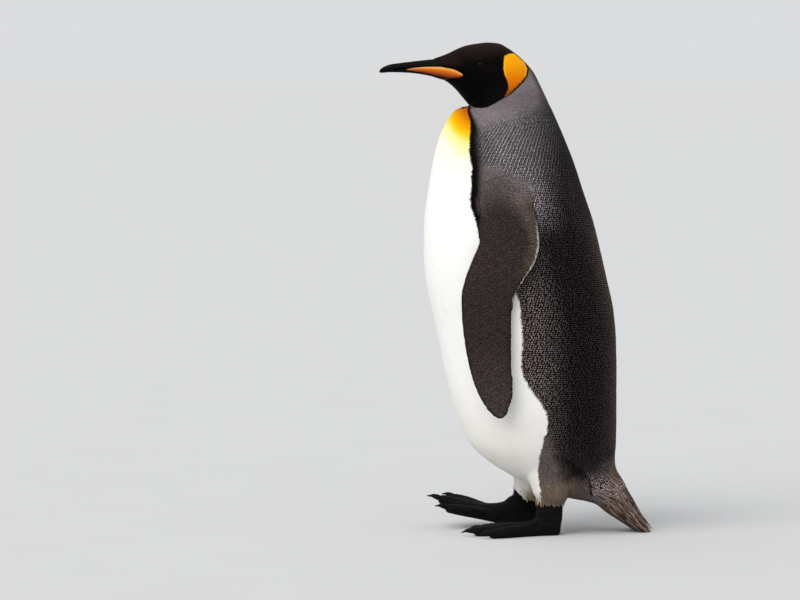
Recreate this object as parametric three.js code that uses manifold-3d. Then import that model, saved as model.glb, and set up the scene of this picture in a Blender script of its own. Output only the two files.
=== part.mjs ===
// King penguin, life size, standing with the neck drawn in and one foot lifted.
// Millimetres. +Z is up, the bird faces -Y, its left side is +X, the floor is Z = 0.
//
// The body is a loft: every station is a section plane through a point of the
// back line and a point of the front line, with a half width across the bird.
// Head, neck, trunk and tail are that one loft cut apart with thin gaps, and
// flippers, legs, feet, bill, eyes and claws are lofts and turned shapes of
// their own that are let into their neighbours.

import * as THREE from 'three';
import { mergeVertices } from 'three/addons/utils/BufferGeometryUtils.js';
import Module from 'manifold-3d';

const wasm = await Module();
wasm.setup();

// ---------------------------------------------------------------- dimensions
const GAP = 0.3;                 // clear gap between neighbouring pieces
const BODY_RING = 20;            // points round a body section
const WING_RING = 12;            // points round a flipper section
const LEG_RING = 12;             // points round a feathered leg
const BILL_RING = 12;            // points round a bill section
const CLAW_RING = 6;
const TOE_RING = 8;
const SHANK_RING = 8;
const CENTRE_Y = 0.98;             // shifts the whole bird so its box is centred

const EYE_RADIUS = 8.2;
const EYE_CENTRE = [29.8, -57.4, 746.6];
const SHOULDER_LIFT = 7.5;       // flipper height correction

const FOOT_LENGTH = 162;         // heel to the tip of the middle claw
const FOOT_HALF_SPREAD = 56;     // stance: each foot's distance from the middle
const LIFT_ANGLE = 16.5;         // right foot, toes raised, degrees
const LIFT_ROLL = 8;             // right foot, outer edge raised, degrees
const CLAW_LENGTH = 18;

// Body stations from the root of the bill to the tip of the tail:
// name, back point y z, front point y z, half width, widest place, squareness
const BODY = [
  ['bill_front', -136.4, 756.0, -132.4, 729.4, 10.5, 0.50, 2.00],
  ['bill_root', -122.0, 760.2, -118.8, 723.8, 14, 0.50, 2.00],
  ['lores', -107.6, 766.0, -106.8, 716.6, 20, 0.52, 2.05],
  ['forehead', -94.0, 772.6, -96.4, 706.8, 26.5, 0.53, 2.10],
  ['brow', -80.4, 777.6, -87.6, 696.4, 32, 0.54, 2.15],
  ['eye', -64.4, 780.5, -80.4, 687.8, 36, 0.54, 2.20],
  ['crown', -46.8, 782.4, -75.9, 682.4, 38.5, 0.54, 2.20],
  ['hind_crown', -29.2, 781.0, -75.3, 681.2, 40, 0.53, 2.20],
  ['occiput', -13.2, 772.8, -75.6, 680.8, 41, 0.52, 2.20],
  ['nape_top', 2.0, 761.6, -76.2, 680.6, 42, 0.51, 2.20],
  ['nape', 15.6, 748.8, -77.2, 680.5, 43.5, 0.50, 2.20],
  ['nape_low', 27.3, 734.4, -78.8, 680.3, 46, 0.50, 2.20],
  ['hind_neck', 37.2, 715.2, -81.2, 680.0, 49.5, 0.50, 2.20],
  ['neck_mid', 47.6, 693.6, -87.6, 679.5, 54, 0.50, 2.20],
  ['neck_base', 57.7, 672.8, -97.5, 674.7, 60, 0.50, 2.20],
  ['collar', 68.1, 649.6, -111.0, 657.5, 68, 0.50, 2.20],
  ['upper_chest', 79.6, 622.4, -124.9, 626.4, 78, 0.50, 2.20],
  ['shoulder', 92.1, 590.4, -133.5, 592.0, 88.5, 0.50, 2.20],
  ['chest', 106.8, 545.6, -141.2, 545.6, 100.5, 0.50, 2.20],
  ['breast', 122.8, 497.6, -147.3, 497.6, 109, 0.50, 2.20],
  ['upper_belly', 134.8, 449.6, -148.2, 449.6, 115, 0.50, 2.20],
  ['mid_belly', 145.7, 401.6, -144.4, 401.6, 120, 0.50, 2.20],
  ['belly', 155.8, 353.6, -134.3, 353.6, 123.5, 0.50, 2.20],
  ['low_belly', 159.9, 305.6, -123.6, 305.6, 125, 0.50, 2.20],
  ['flank', 160.9, 257.6, -114.0, 257.6, 124.5, 0.50, 2.20],
  ['loin', 160.9, 212.8, -102.8, 212.8, 121.5, 0.50, 2.20],
  ['hip', 160.9, 174.4, -90.0, 174.4, 115, 0.50, 2.20],
  ['vent', 160.2, 142.4, -73.2, 140.0, 105, 0.50, 2.20],
  ['rump', 158.6, 120.0, -42.0, 111.2, 92, 0.50, 2.15],
  ['under_rump', 159.0, 108.8, -10.0, 91.2, 80, 0.50, 2.10],
  ['tail_root', 162.0, 97.6, 22.0, 72.0, 68, 0.50, 2.10],
  ['tail_cover', 168.2, 87.2, 58.8, 57.6, 56, 0.50, 2.05],
  ['tail_base', 174.4, 75.6, 95.6, 50.4, 47, 0.50, 2.00],
  ['tail_a', 182.4, 60.8, 124.4, 45.0, 42, 0.50, 2.00],
  ['tail_b', 192.2, 44.3, 141.2, 32.6, 40, 0.50, 2.00],
  ['tail_c', 201.2, 27.4, 159.6, 20.4, 37, 0.50, 2.00],
  ['tail_d', 210.8, 13.2, 178.8, 8.0, 33, 0.50, 2.00],
  ['tail_tip', 218.2, -1.5, 197.0, -3.5, 27, 0.50, 2.00],
];

// Flipper stations from the shoulder to the tip:
// name, leading y z, trailing y z, leading x, trailing x, thickness
const FLIPPER = [
  ['root', -45.2, 576.0, 6.0, 576.0, 66, 72, 26],
  ['cuff', -54.8, 553.6, 16.0, 548.8, 76, 84, 28],
  ['upper_arm', -60.4, 526.4, 23.2, 521.6, 88, 97, 27],
  ['arm', -61.2, 497.6, 29.0, 492.8, 100, 109, 25],
  ['elbow', -59.4, 467.2, 32.4, 459.2, 111, 119, 22],
  ['forearm', -71.3, 435.2, 26.6, 432.0, 119, 126.5, 19],
  ['below_elbow', -83.5, 404.8, 7.6, 401.6, 126, 132, 17],
  ['wrist', -89.8, 372.8, -6.8, 372.8, 130.5, 136, 15],
  ['hand', -88.2, 337.6, -11.4, 337.6, 134, 138.5, 13.5],
  ['hand_mid', -84.2, 302.4, -12.2, 302.4, 136.5, 139.5, 12],
  ['hand_low', -77.8, 268.8, -10.6, 268.8, 137.8, 139.8, 10.5],
  ['fingers', -69.2, 238.4, -8.8, 238.4, 138, 139.5, 9],
  ['finger_end', -57.0, 212.0, -9.4, 212.8, 137.5, 138.5, 7.5],
  ['tip_a', -45.2, 195.6, -15.0, 196.0, 136.8, 137.5, 6],
  ['tip_b', -36.2, 187.8, -22.4, 187.8, 136.2, 136.6, 4.2],
  ['tip', -30.6, 184.5, -27.2, 184.4, 136, 136, 2.5],
];

// Coloured plate of the lower mandible, its outline in side view
const PLATE = [[-175.5, 739.0], [-166.8, 741.8], [-154, 742.9], [-138, 743.6], [-124, 743.4], [-114, 742.2],
  [-105, 740.2], [-97, 737.6], [-91.5, 735.0], [-87.4, 732.6], [-86.0, 730.4], [-88, 728.2], [-94, 726.9], [-103, 726.8],
  [-112, 728.2], [-122, 730.0], [-132, 732.2], [-142, 734.1], [-152, 735.6], [-164, 737.4]];

// Where the body loft is parted, as lines y z in side view, front to back
const HEAD_CUT = [[-400, 692], [-88, 688], [-75.5, 681.6], [-30, 696], [10, 712], [37, 716], [400, 760]];
const NECK_CUT = [[-400, 632], [-124, 620], [-60, 612], [20, 612], [84, 626], [400, 640]];
const TAIL_CUT = [[86, -400], [100, 30], [104, 58], [124, 82], [160, 101], [400, 170]];

const COLOUR = {
  black: 0x14120f, slate: 0x3d4350, silver: 0x8d949e, white: 0xe9e4dc, gold: 0xe58a17,
  orange: 0xd9743a, horn: 0x101010, skin: 0x1d1b1b, eye: 0x120d0a, brown: 0x3a2f27,
};

// ------------------------------------------------------------------ helpers
// Monotone cubic through one column of a table, so a loft never bulges
// past its stations.
function monotone(values) {
  const n = values.length;
  const d = [];
  for (let i = 0; i < n - 1; i++) d.push(values[i + 1] - values[i]);
  const m = values.map((_, i) => {
    if (i === 0) return d[0];
    if (i === n - 1) return d[n - 2];
    return d[i - 1] * d[i] <= 0 ? 0 : 2 * d[i - 1] * d[i] / (d[i - 1] + d[i]);
  });
  return (t) => {
    const i = Math.min(n - 2, Math.max(0, Math.floor(t)));
    const f = t - i;
    const f2 = f * f;
    const f3 = f2 * f;
    return (2 * f3 - 3 * f2 + 1) * values[i] + (f3 - 2 * f2 + f) * m[i]
      + (3 * f2 - 2 * f3) * values[i + 1] + (f3 - f2) * m[i + 1];
  };
}

// Closed skin over a list of rings of equal length, with a middle point at
// either end.
function skinOver(rings) {
  const n = rings[0].length;
  const pos = [];
  for (const ring of rings) for (const p of ring) pos.push(p[0], p[1], p[2]);
  const middle = (ring) => [0, 1, 2].map((k) => ring.reduce((s, p) => s + p[k], 0) / n);
  const first = middle(rings[0]);
  const last = middle(rings[rings.length - 1]);
  const a = pos.length / 3;
  pos.push(...first, ...last);
  const index = [];
  for (let r = 0; r < rings.length - 1; r++) {
    for (let i = 0; i < n; i++) {
      const j = (i + 1) % n;
      const p = r * n + i;
      const q = r * n + j;
      index.push(p, q, p + n, q, q + n, p + n);
    }
  }
  const end = (rings.length - 1) * n;
  for (let i = 0; i < n; i++) {
    const j = (i + 1) % n;
    index.push(a, j, i);
    index.push(a + 1, end + i, end + j);
  }
  const geometry = new THREE.BufferGeometry();
  geometry.setAttribute('position', new THREE.Float32BufferAttribute(pos, 3));
  geometry.setIndex(index);
  return geometry;
}

// Closed surface to a solid, turned outward if it was wound inward.
function solid(geometry) {
  const bare = geometry.clone();
  for (const name of Object.keys(bare.attributes)) if (name !== 'position') bare.deleteAttribute(name);
  const merged = mergeVertices(bare, 1e-4);
  const at = merged.attributes.position;
  const tri = Uint32Array.from(merged.index.array);
  let volume = 0;
  const p = [0, 1, 2].map(() => new THREE.Vector3());
  for (let i = 0; i < tri.length; i += 3) {
    for (let k = 0; k < 3; k++) p[k].fromBufferAttribute(at, tri[i + k]);
    volume += p[0].dot(p[1].clone().cross(p[2]));
  }
  if (volume < 0) for (let i = 0; i < tri.length; i += 3) [tri[i], tri[i + 1]] = [tri[i + 1], tri[i]];
  const mesh = new wasm.Mesh({ numProp: 3, vertProperties: Float32Array.from(at.array), triVerts: tri });
  mesh.merge();
  return new wasm.Manifold(mesh);
}

function geometryOf(body) {
  const mesh = body.getMesh();
  const geometry = new THREE.BufferGeometry();
  const pos = new Float32Array(mesh.numVert * 3);
  for (let i = 0; i < mesh.numVert; i++) {
    for (let k = 0; k < 3; k++) pos[i * 3 + k] = mesh.vertProperties[i * mesh.numProp + k];
  }
  geometry.setAttribute('position', new THREE.BufferAttribute(pos, 3));
  geometry.setIndex(Array.from(mesh.triVerts));
  geometry.computeVertexNormals();
  return geometry;
}

// Largest connected piece of a solid, without crumbs left by a cut.
function whole(body) {
  const parts = body.decompose();
  parts.sort((a, b) => b.volume() - a.volume());
  return parts[0];
}

// Side-view polygon [y, z] as a slab across the bird between two x values.
function slab(points, x0, x1) {
  const shape = new THREE.Shape(points.map(([y, z]) => new THREE.Vector2(y, z)));
  const geometry = new THREE.ExtrudeGeometry(shape, { depth: x1 - x0, bevelEnabled: false });
  // shape x -> world y, shape y -> world z, depth -> world x
  geometry.applyMatrix4(new THREE.Matrix4().set(0, 0, 1, x0, 1, 0, 0, 0, 0, 1, 0, 0, 0, 0, 0, 1));
  return solid(geometry);
}

// The part of space above a side-view line that runs front to back.
const above = (line, lift) => slab(
  [...line.map(([y, z]) => [y, z + lift]), [400, 1200], [-400, 1200]], -400, 400);
const below = (line, drop) => slab(
  [...line.map(([y, z]) => [y, z - drop]), [400, -400], [-400, -400]], -400, 400);

// Section across the line from front point to back point.
function bodyRing([by, bz, fy, fz, half, place, square], count, grow = 0) {
  const ring = [];
  const dy = by - fy;
  const dz = bz - fz;
  const len = Math.hypot(dy, dz);
  const uy = dy / len;
  const uz = dz / len;
  for (let i = 0; i < count; i++) {
    const t = 2 * Math.PI * i / count;
    const c = Math.cos(t);
    const s = Math.sin(t);
    const along = Math.sign(c) * Math.abs(c) ** (2 / square);
    const out = Math.sign(s) * Math.abs(s) ** (2 / square);
    const reach = along > 0 ? len * (1 - place) + grow : len * place + grow;
    const at = len * place + along * reach;
    ring.push([out * (half + grow), fy + uy * at, fz + uz * at]);
  }
  return ring;
}

// Loft through table rows; steps(i) gives the slices between rows i and i + 1.
function tableLoft(rows, steps, count, grow = 0) {
  const columns = rows[0].map((_, k) => monotone(rows.map((row) => row[k])));
  const rings = [];
  for (let i = 0; i < rows.length - 1; i++) {
    const n = steps(i);
    for (let s = 0; s < n; s++) rings.push(bodyRing(columns.map((f) => f(i + s / n)), count, grow));
  }
  rings.push(bodyRing(rows[rows.length - 1], count, grow));
  if (grow) {
    const middle = (ring) => ring.reduce((m, p) => m.add(new THREE.Vector3(...p)), new THREE.Vector3())
      .divideScalar(ring.length);
    const push = (ring, next) => {
      const out = middle(ring).sub(middle(next)).normalize().multiplyScalar(grow);
      for (const p of ring) { p[1] += out.y; p[2] += out.z; }
    };
    push(rings[0], rings[1]);
    push(rings[rings.length - 1], rings[rings.length - 2]);
  }
  return skinOver(rings);
}

// Rounded limb through points [x, y, z, half x, half other], with domed ends.
// 'axis' is the direction the half-x radius lies along.
function limb(points, count, grow = 0, slices = 2, axis = [1, 0, 0]) {
  const columns = points[0].map((_, k) => monotone(points.map((p) => p[k])));
  const n = points.length - 1;
  const at = (t) => columns.map((f) => f(Math.min(n, Math.max(0, t))));
  const rings = [];
  const ax = new THREE.Vector3(...axis);
  const put = (t, shrink, shift) => {
    const p = at(t);
    const a = new THREE.Vector3(...at(Math.max(0, t - 0.05)));
    const b = new THREE.Vector3(...at(Math.min(n, t + 0.05)));
    const dir = b.sub(a).normalize();
    const side = ax.clone().addScaledVector(dir, -ax.dot(dir)).normalize();
    const up = dir.clone().cross(side);
    const ring = [];
    for (let i = 0; i < count; i++) {
      const w = 2 * Math.PI * i / count;
      const c = Math.cos(w) * (p[3] + grow) * shrink;
      const s = Math.sin(w) * (p[4] + grow) * shrink;
      ring.push([p[0] + side.x * c + up.x * s + dir.x * shift,
        p[1] + side.y * c + up.y * s + dir.y * shift,
        p[2] + side.z * c + up.z * s + dir.z * shift]);
    }
    rings.push(ring);
  };
  const dome = (r) => (r < 1.2 ? [] : [[0.5, -0.86], [0.86, -0.5]]).map(([q, h]) => [q, h * r]);
  const r0 = Math.min(points[0][3], points[0][4]) + grow;
  const r1 = Math.min(points[n][3], points[n][4]) + grow;
  for (const [q, h] of dome(r0)) put(0, q, h);
  for (let i = 0; i < n; i++) for (let s = 0; s < slices; s++) put(i + s / slices, 1, 0);
  put(n, 1, 0);
  for (const [q, h] of dome(r1).reverse()) put(n, q, -h);
  return solid(skinOver(rings));
}

function ball([x, y, z], r) {
  const g = new THREE.SphereGeometry(r, 10, 8);
  g.rotateZ(Math.PI / 2);
  g.translate(x, y, z);
  return solid(g);
}

const mirrored = (body) => body.mirror([1, 0, 0]);

// --------------------------------------------------------------------- body
const bodyRows = BODY.map((row) => row.slice(1));
const bodySteps = (i) => {
  const a = bodyRows[i];
  const b = bodyRows[i + 1];
  const far = Math.max(Math.hypot(b[0] - a[0], b[1] - a[1]), Math.hypot(b[2] - a[2], b[3] - a[3]));
  return Math.max(1, Math.round(far / 46));
};
const floorUp = below([[-600, 0], [600, 0]], 0);   // everything under the floor
const body = solid(tableLoft(bodyRows, bodySteps, BODY_RING)).subtract(floorUp);

let head = whole(body.intersect(above(HEAD_CUT, GAP / 2)));
let neck = whole(body.intersect(below(HEAD_CUT, GAP / 2)).intersect(above(NECK_CUT, GAP / 2)));
let lowerBody = whole(body.intersect(below(NECK_CUT, GAP / 2)));

// The tail cut is steep, so its two sides are slabs of their own.
const tailSide = (shift) => slab([...TAIL_CUT.map(([y, z]) => [y + shift, z - shift]), [600, 170], [600, -400]], -400, 400);
let tail = whole(lowerBody.intersect(tailSide(GAP / 2)));
let trunk = whole(lowerBody.subtract(tailSide(-GAP / 2)));

// --------------------------------------------------------------------- bill
// back point y z (ridge side), front point y z (cutting side), half width
const UPPER_BILL = [
  [-219.4, 736.0, -218.4, 733.8, 1.3, 0.45, 2.0],
  [-216.5, 740.6, -214.6, 735.8, 2.6, 0.40, 2.0],
  [-210.4, 744.3, -208.4, 737.3, 3.7, 0.35, 2.0],
  [-202.0, 747.4, -202.0, 738.5, 4.7, 0.32, 2.0],
  [-186.0, 749.8, -186.0, 740.3, 6.2, 0.30, 2.0],
  [-170.0, 751.7, -170.0, 741.7, 7.4, 0.28, 2.0],
  [-154.0, 753.6, -154.0, 742.8, 8.8, 0.26, 2.0],
  [-136.4, 755.4, -138.0, 743.5, 11.0, 0.24, 2.1],
  [-122.0, 756.4, -122.0, 743.2, 13.8, 0.22, 2.1],
  [-108.0, 755.6, -108.0, 741.4, 16.6, 0.22, 2.1],
  [-98.0, 754.0, -98.0, 739.6, 17.5, 0.25, 2.1],
];
const LOWER_BILL = [
  [-214.4, 735.2, -213.8, 733.6, 1.2, 0.5, 2.0],
  [-208.4, 736.9, -208.4, 734.5, 2.6, 0.6, 2.0],
  [-202.0, 738.1, -202.0, 734.9, 3.5, 0.6, 2.0],
  [-186.0, 739.9, -186.0, 734.6, 5.0, 0.6, 2.0],
  [-170.0, 741.3, -170.0, 733.8, 6.4, 0.6, 2.0],
  [-154.0, 742.4, -154.0, 731.9, 8.0, 0.6, 2.0],
  [-138.0, 743.1, -138.0, 728.9, 10.6, 0.55, 2.1],
  [-122.0, 742.8, -122.0, 724.0, 15.0, 0.5, 2.2],
  [-112.0, 741.0, -112.0, 721.9, 18.4, 0.5, 2.2],
  [-102.0, 739.6, -103.0, 722.4, 23.6, 0.5, 2.2],
  [-94.0, 737.0, -95.0, 723.4, 27.2, 0.5, 2.2],
  [-88.0, 734.2, -89.0, 725.6, 30.0, 0.5, 2.1],
  [-84.4, 731.6, -85.0, 727.8, 31.4, 0.5, 2.0],
];
const upperBill = (grow) => solid(tableLoft(UPPER_BILL, () => 1, BILL_RING, grow));
const lowerBill = (grow) => solid(tableLoft(LOWER_BILL, () => 1, BILL_RING, grow));
const billUpper = whole(upperBill(0));
const mandible = whole(lowerBill(0).subtract(upperBill(GAP)));
head = whole(head.subtract(upperBill(GAP)).subtract(lowerBill(GAP)));

// The coloured plate is the outer layer of the mandible within its outline.
const plateCore = (grow) => solid(tableLoft(
  LOWER_BILL.map((r) => [r[0], r[1] + 9, r[2], r[3] - 9, Math.max(0.6, r[4] - 1.6 - grow), r[5], r[6]]), () => 1, BILL_RING));
// Outline of a side-view polygon moved outward by g along its edge normals.
function widened(points, g) {
  const n = points.length;
  const area = points.reduce((a, [y, z], i) => {
    const [y2, z2] = points[(i + 1) % n];
    return a + y * z2 - y2 * z;
  }, 0);
  const turn = area > 0 ? 1 : -1;
  const normal = (p, q) => {
    const l = Math.hypot(q[0] - p[0], q[1] - p[1]);
    return [turn * (q[1] - p[1]) / l, -turn * (q[0] - p[0]) / l];
  };
  return points.map((p, i) => {
    const a = normal(points[(i + n - 1) % n], p);
    const b = normal(p, points[(i + 1) % n]);
    const k = g / Math.max(0.35, 1 + a[0] * b[0] + a[1] * b[1]);
    return [p[0] + (a[0] + b[0]) * k, p[1] + (a[1] + b[1]) * k];
  });
}
const plateZone = (x0, x1, g) => slab(widened(PLATE, g), x0, x1);
const plateLeft = whole(mandible.intersect(plateZone(2.5, 60, 0)).subtract(plateCore(0)));
const plateRight = whole(mandible.intersect(plateZone(-60, -2.5, 0)).subtract(plateCore(0)));
const billLower = whole(mandible
  .subtract(plateZone(2.0, 60, GAP).subtract(plateCore(GAP)))
  .subtract(plateZone(-60, -2.0, GAP).subtract(plateCore(GAP))));

// --------------------------------------------------------------------- eyes
const eyeLeft = ball(EYE_CENTRE, EYE_RADIUS);
const eyeRight = mirrored(eyeLeft);
const sockets = ball(EYE_CENTRE, EYE_RADIUS + GAP);
head = whole(head.subtract(sockets).subtract(mirrored(sockets)));

// ----------------------------------------------------------------- flippers
function flipper(grow) {
  const rows = FLIPPER.map((r) => r.slice(1));
  const columns = rows[0].map((_, k) => monotone(rows.map((row) => row[k])));
  const n = rows.length - 1;
  const place = (t) => {
    const [ly, lz, ty, tz, lx, tx, thick] = columns.map((f) => f(Math.min(n, Math.max(0, t))));
    return {
      lead: new THREE.Vector3(lx, ly, lz + SHOULDER_LIFT),
      trail: new THREE.Vector3(tx, ty, tz + SHOULDER_LIFT),
      thick,
    };
  };
  const rings = [];
  for (let k = 0; k <= n; k++) {
    const t = k;
    const { lead, trail, thick } = place(t);
    const mid = (q) => { const p = place(q); return p.lead.clone().add(p.trail).multiplyScalar(0.5); };
    const span = mid(Math.min(n, t + 0.3)).sub(mid(Math.max(0, t - 0.3))).normalize();
    const chord = trail.clone().sub(lead);
    const width = chord.length();
    chord.normalize();
    const out = chord.clone().cross(span).normalize();
    const centre = lead.clone().add(trail).multiplyScalar(0.5);
    const ring = [];
    for (let i = 0; i < WING_RING; i++) {
      const w = 2 * Math.PI * i / WING_RING;
      const c = Math.cos(w);
      const s = Math.sin(w);
      const taper = 1 - 0.28 * c;               // thinner towards the trailing edge
      const q = Math.sign(s) * Math.abs(s) ** 0.85 * (thick / 2 * taper + grow);
      const u = c * (width / 2 + grow);
      const p = centre.clone().addScaledVector(chord, u).addScaledVector(out, q);
      if (k === 0) p.addScaledVector(span, -grow);
      if (k === n) p.addScaledVector(span, grow);
      ring.push([p.x, p.y, p.z]);
    }
    rings.push(ring);
  }
  return solid(skinOver(rings));
}
const wingLeft = whole(flipper(0));
const wingRight = mirrored(wingLeft);
trunk = whole(trunk.subtract(flipper(GAP)).subtract(mirrored(flipper(GAP))));

// --------------------------------------------------------------------- legs
// Feathered legs: x, y, z, half width, half depth, from inside the trunk down
const LEG_LEFT = [
  [53, 55, 136, 36, 45], [54, 54, 116, 36, 43], [56, 53, 94, 31, 36],
  [57.5, 54, 76, 26, 30], [58, 56, 65, 22, 26],
];
const LEG_RIGHT = [
  [-53, 31, 134, 36, 42], [-54, 28, 116, 35, 38], [-56, 25, 96, 31, 32],
  [-57.5, 23.5, 77, 26.5, 25.5], [-58, 23.5, 58, 22, 21],
];
const leftLegSolid = (g) => limb(LEG_LEFT, LEG_RING, g, 1);
const rightLegSolid = (g) => limb(LEG_RIGHT, LEG_RING, g, 1);

// --------------------------------------------------------------------- feet
// Foot in its own place: heel at the origin, toes towards -Y, sole at z = 0,
// 'side' is +1 where the outer toe lies towards +X.
const TOES = {
  middle: [[0, 25, 13, 15, 12], [1, 66, 11.5, 13, 11], [2.6, 105, 10, 12, 9.6], [3, 134, 8.6, 9, 8]],
  inner: [[-5, 29, 11.5, 13, 11], [-17, 66, 10.5, 12.4, 10], [-31, 101, 9.4, 11.2, 9], [-36.5, 119, 8, 8.6, 7.6]],
  outer: [[5, 29, 11.5, 13, 11], [17, 64, 10.5, 12.4, 10], [32, 97, 9.4, 11.2, 9], [38.5, 115, 8, 8.6, 7.6]],
  hind: [[-10, 12, 10, 7, 7], [-18, 22, 8.4, 6, 6], [-21, 30, 7.2, 5, 5]],
};
const CLAW_ROOT = {
  middle: [3, FOOT_LENGTH - 22, 8.6, 0], inner: [-37.6, 123.5, 8.2, -17], outer: [39.6, 119.5, 8.2, 17], hind: [-21.6, 32, 7, -14],
};
const WEB = [[-15, 20], [-21, 64], [-34, 99], [-29, 109], [-15, 107], [0, 117], [18, 105], [32, 106], [37, 95], [21, 62], [15, 20]];

function clawAt(name, side, grow) {
  const [x, y, z, yaw] = CLAW_ROOT[name];
  const size = name === 'hind' ? 0.5 : 1;
  const a = THREE.MathUtils.degToRad(yaw);
  const path = [[-5, 0, 4.2], [3, 1.4, 4.3], [10, 1.6, 3.3], [CLAW_LENGTH - 3, 0.4, 1.7], [CLAW_LENGTH + 2, -1.4, 0.7]];
  const points = path.map(([f, up, r]) => [side * (x + Math.sin(a) * f * size), -(y + Math.cos(a) * f * size),
    z + up * size, r * size * 0.92, r * size * 1.05]);
  return limb(points, CLAW_RING, grow, 1);
}

function footShape(side, tarsus) {
  const toe = (name) => limb(TOES[name].map(([x, y, z, a, b]) => [side * x, -y, z, a, b]), TOE_RING, 0, 1);
  const outline = new THREE.Shape(WEB.map(([x, y]) => new THREE.Vector2(side * x, -y)));
  const webGeometry = new THREE.ExtrudeGeometry(outline, { depth: 6, bevelEnabled: false });
  webGeometry.translate(0, 0, 2.6);
  let foot = toe('middle').add(toe('inner')).add(toe('outer')).add(toe('hind')).add(solid(webGeometry));
  for (const points of tarsus) foot = foot.add(limb(points.map(([x, y, z, a, b]) => [side * x, -y, z, a, b]), SHANK_RING, 0, 1));
  return foot;
}
const CLAW_NAMES = ['inner', 'middle', 'outer', 'hind'];

// Planted left foot: heel and upright shank, then the instep
const LEFT_SHANK = [
  [[0, 16.5, 10, 16, 16.5], [0, 18.5, 26, 16, 21], [0, 18, 47, 15.5, 21.5], [0, 14.5, 72, 14, 18]],
  [[0, 22, 27, 14, 15], [0, 36, 16, 15.5, 12.5], [0, 58, 11.5, 13.5, 10]],
];
// Lifted right foot: heel, then an instep that is high because the toes are raised
const RIGHT_SHANK = [
  [[0, 10, 13, 16, 14], [0, 14, 26, 16, 18], [0, 20, 38, 15, 19]],
  [[0, 28, 25, 15, 15], [0, 44, 17, 16.5, 14], [0, 64, 12.5, 16.5, 12], [0, 88, 10, 14, 10]],
];
// and its shank, which stands upright whatever the foot does
const RIGHT_ANKLE = [[-57, 14, 17, 15, 17], [-57, 16.5, 36, 16.5, 21], [-57.5, 18, 54, 16.5, 21], [-57.5, 21, 74, 14, 18]];

function placed(body, x, y, z, pitch, yaw, roll) {
  const m = new THREE.Matrix4().makeTranslation(x, y, z)
    .multiply(new THREE.Matrix4().makeRotationZ(THREE.MathUtils.degToRad(yaw)))
    .multiply(new THREE.Matrix4().makeRotationX(THREE.MathUtils.degToRad(-pitch)))
    .multiply(new THREE.Matrix4().makeRotationY(THREE.MathUtils.degToRad(roll)));
  return body.transform(m.elements);
}

const leftPlace = (b) => placed(b, FOOT_HALF_SPREAD, 70, -0.8, 0, 8, 0);
const rightPlace = (b) => placed(b, -FOOT_HALF_SPREAD, 9, -3.4, LIFT_ANGLE, -3, LIFT_ROLL);
const clawsLeft = {};
const clawsRight = {};
let footLeft = leftPlace(footShape(1, LEFT_SHANK));
const rightAnkle = (grow) => limb(RIGHT_ANKLE, SHANK_RING, grow, 1);
let footRight = rightPlace(footShape(-1, RIGHT_SHANK)).add(rightAnkle(0));
for (const name of CLAW_NAMES) {
  clawsLeft[name] = whole(leftPlace(clawAt(name, 1, 0)).subtract(floorUp));
  clawsRight[name] = whole(rightPlace(clawAt(name, -1, 0)).subtract(floorUp));
  footLeft = footLeft.subtract(leftPlace(clawAt(name, 1, GAP)));
  footRight = footRight.subtract(rightPlace(clawAt(name, -1, GAP)));
}
footLeft = whole(footLeft.subtract(floorUp));
footRight = whole(footRight.subtract(floorUp));

// Legs are let into the trunk and stand on the shanks.
trunk = whole(trunk.subtract(leftLegSolid(GAP)).subtract(rightLegSolid(GAP)));
tail = whole(tail.subtract(leftLegSolid(GAP)).subtract(rightLegSolid(GAP)));
const shankLeft = leftPlace(limb(LEFT_SHANK[0].map(([x, y, z, a, b]) => [x, -y, z, a, b]), SHANK_RING, GAP, 1));
const shankRight = rightPlace(limb(RIGHT_SHANK[0].map(([x, y, z, a, b]) => [-x, -y, z, a, b]), SHANK_RING, GAP, 1))
  .add(rightPlace(limb(RIGHT_SHANK[1].map(([x, y, z, a, b]) => [-x, -y, z, a, b]), SHANK_RING, GAP, 1)))
  .add(rightAnkle(GAP));
const legLeft = whole(leftLegSolid(0).subtract(shankLeft));
const legRight = whole(rightLegSolid(0).subtract(shankRight));

// ------------------------------------------------------------------ assembly
const group = new THREE.Group();
group.name = 'king_penguin';

function place(name, body, color, roughness = 0.8) {
  const mesh = new THREE.Mesh(geometryOf(body.translate([0, CENTRE_Y, 0])),
    new THREE.MeshStandardMaterial({ color, roughness, metalness: 0 }));
  mesh.name = name;
  group.add(mesh);
}

place('head', head, COLOUR.black);
place('neck', neck, COLOUR.silver);
place('trunk', trunk, COLOUR.white);
place('tail', tail, COLOUR.brown);
place('wing_left', wingLeft, COLOUR.slate);
place('wing_right', wingRight, COLOUR.slate);
place('leg_left', legLeft, COLOUR.white);
place('leg_right', legRight, COLOUR.white);
place('foot_left', footLeft, COLOUR.skin, 0.7);
place('foot_right', footRight, COLOUR.skin, 0.7);
for (const name of CLAW_NAMES) {
  place(`claw_left_${name}`, clawsLeft[name], COLOUR.horn, 0.45);
  place(`claw_right_${name}`, clawsRight[name], COLOUR.horn, 0.45);
}
place('bill_upper', billUpper, COLOUR.horn, 0.35);
place('bill_lower', billLower, COLOUR.horn, 0.35);
place('bill_plate_left', plateLeft, COLOUR.orange, 0.4);
place('bill_plate_right', plateRight, COLOUR.orange, 0.4);
place('eye_left', eyeLeft, COLOUR.eye, 0.1);
place('eye_right', eyeRight, COLOUR.eye, 0.1);

export default group;
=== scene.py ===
"""King penguin, life-size still model: skin, coat, horn, eyes, light and camera.

Lengths in the tables are millimetres in the model's own frame (+Z up, the bird
faces -Y, its left side is +X); every object is made in metres.
"""

import math

import bmesh
import bpy
import numpy as np
from mathutils import Matrix, Vector
from mathutils.bvhtree import BVHTree
from mathutils.kdtree import KDTree


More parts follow.
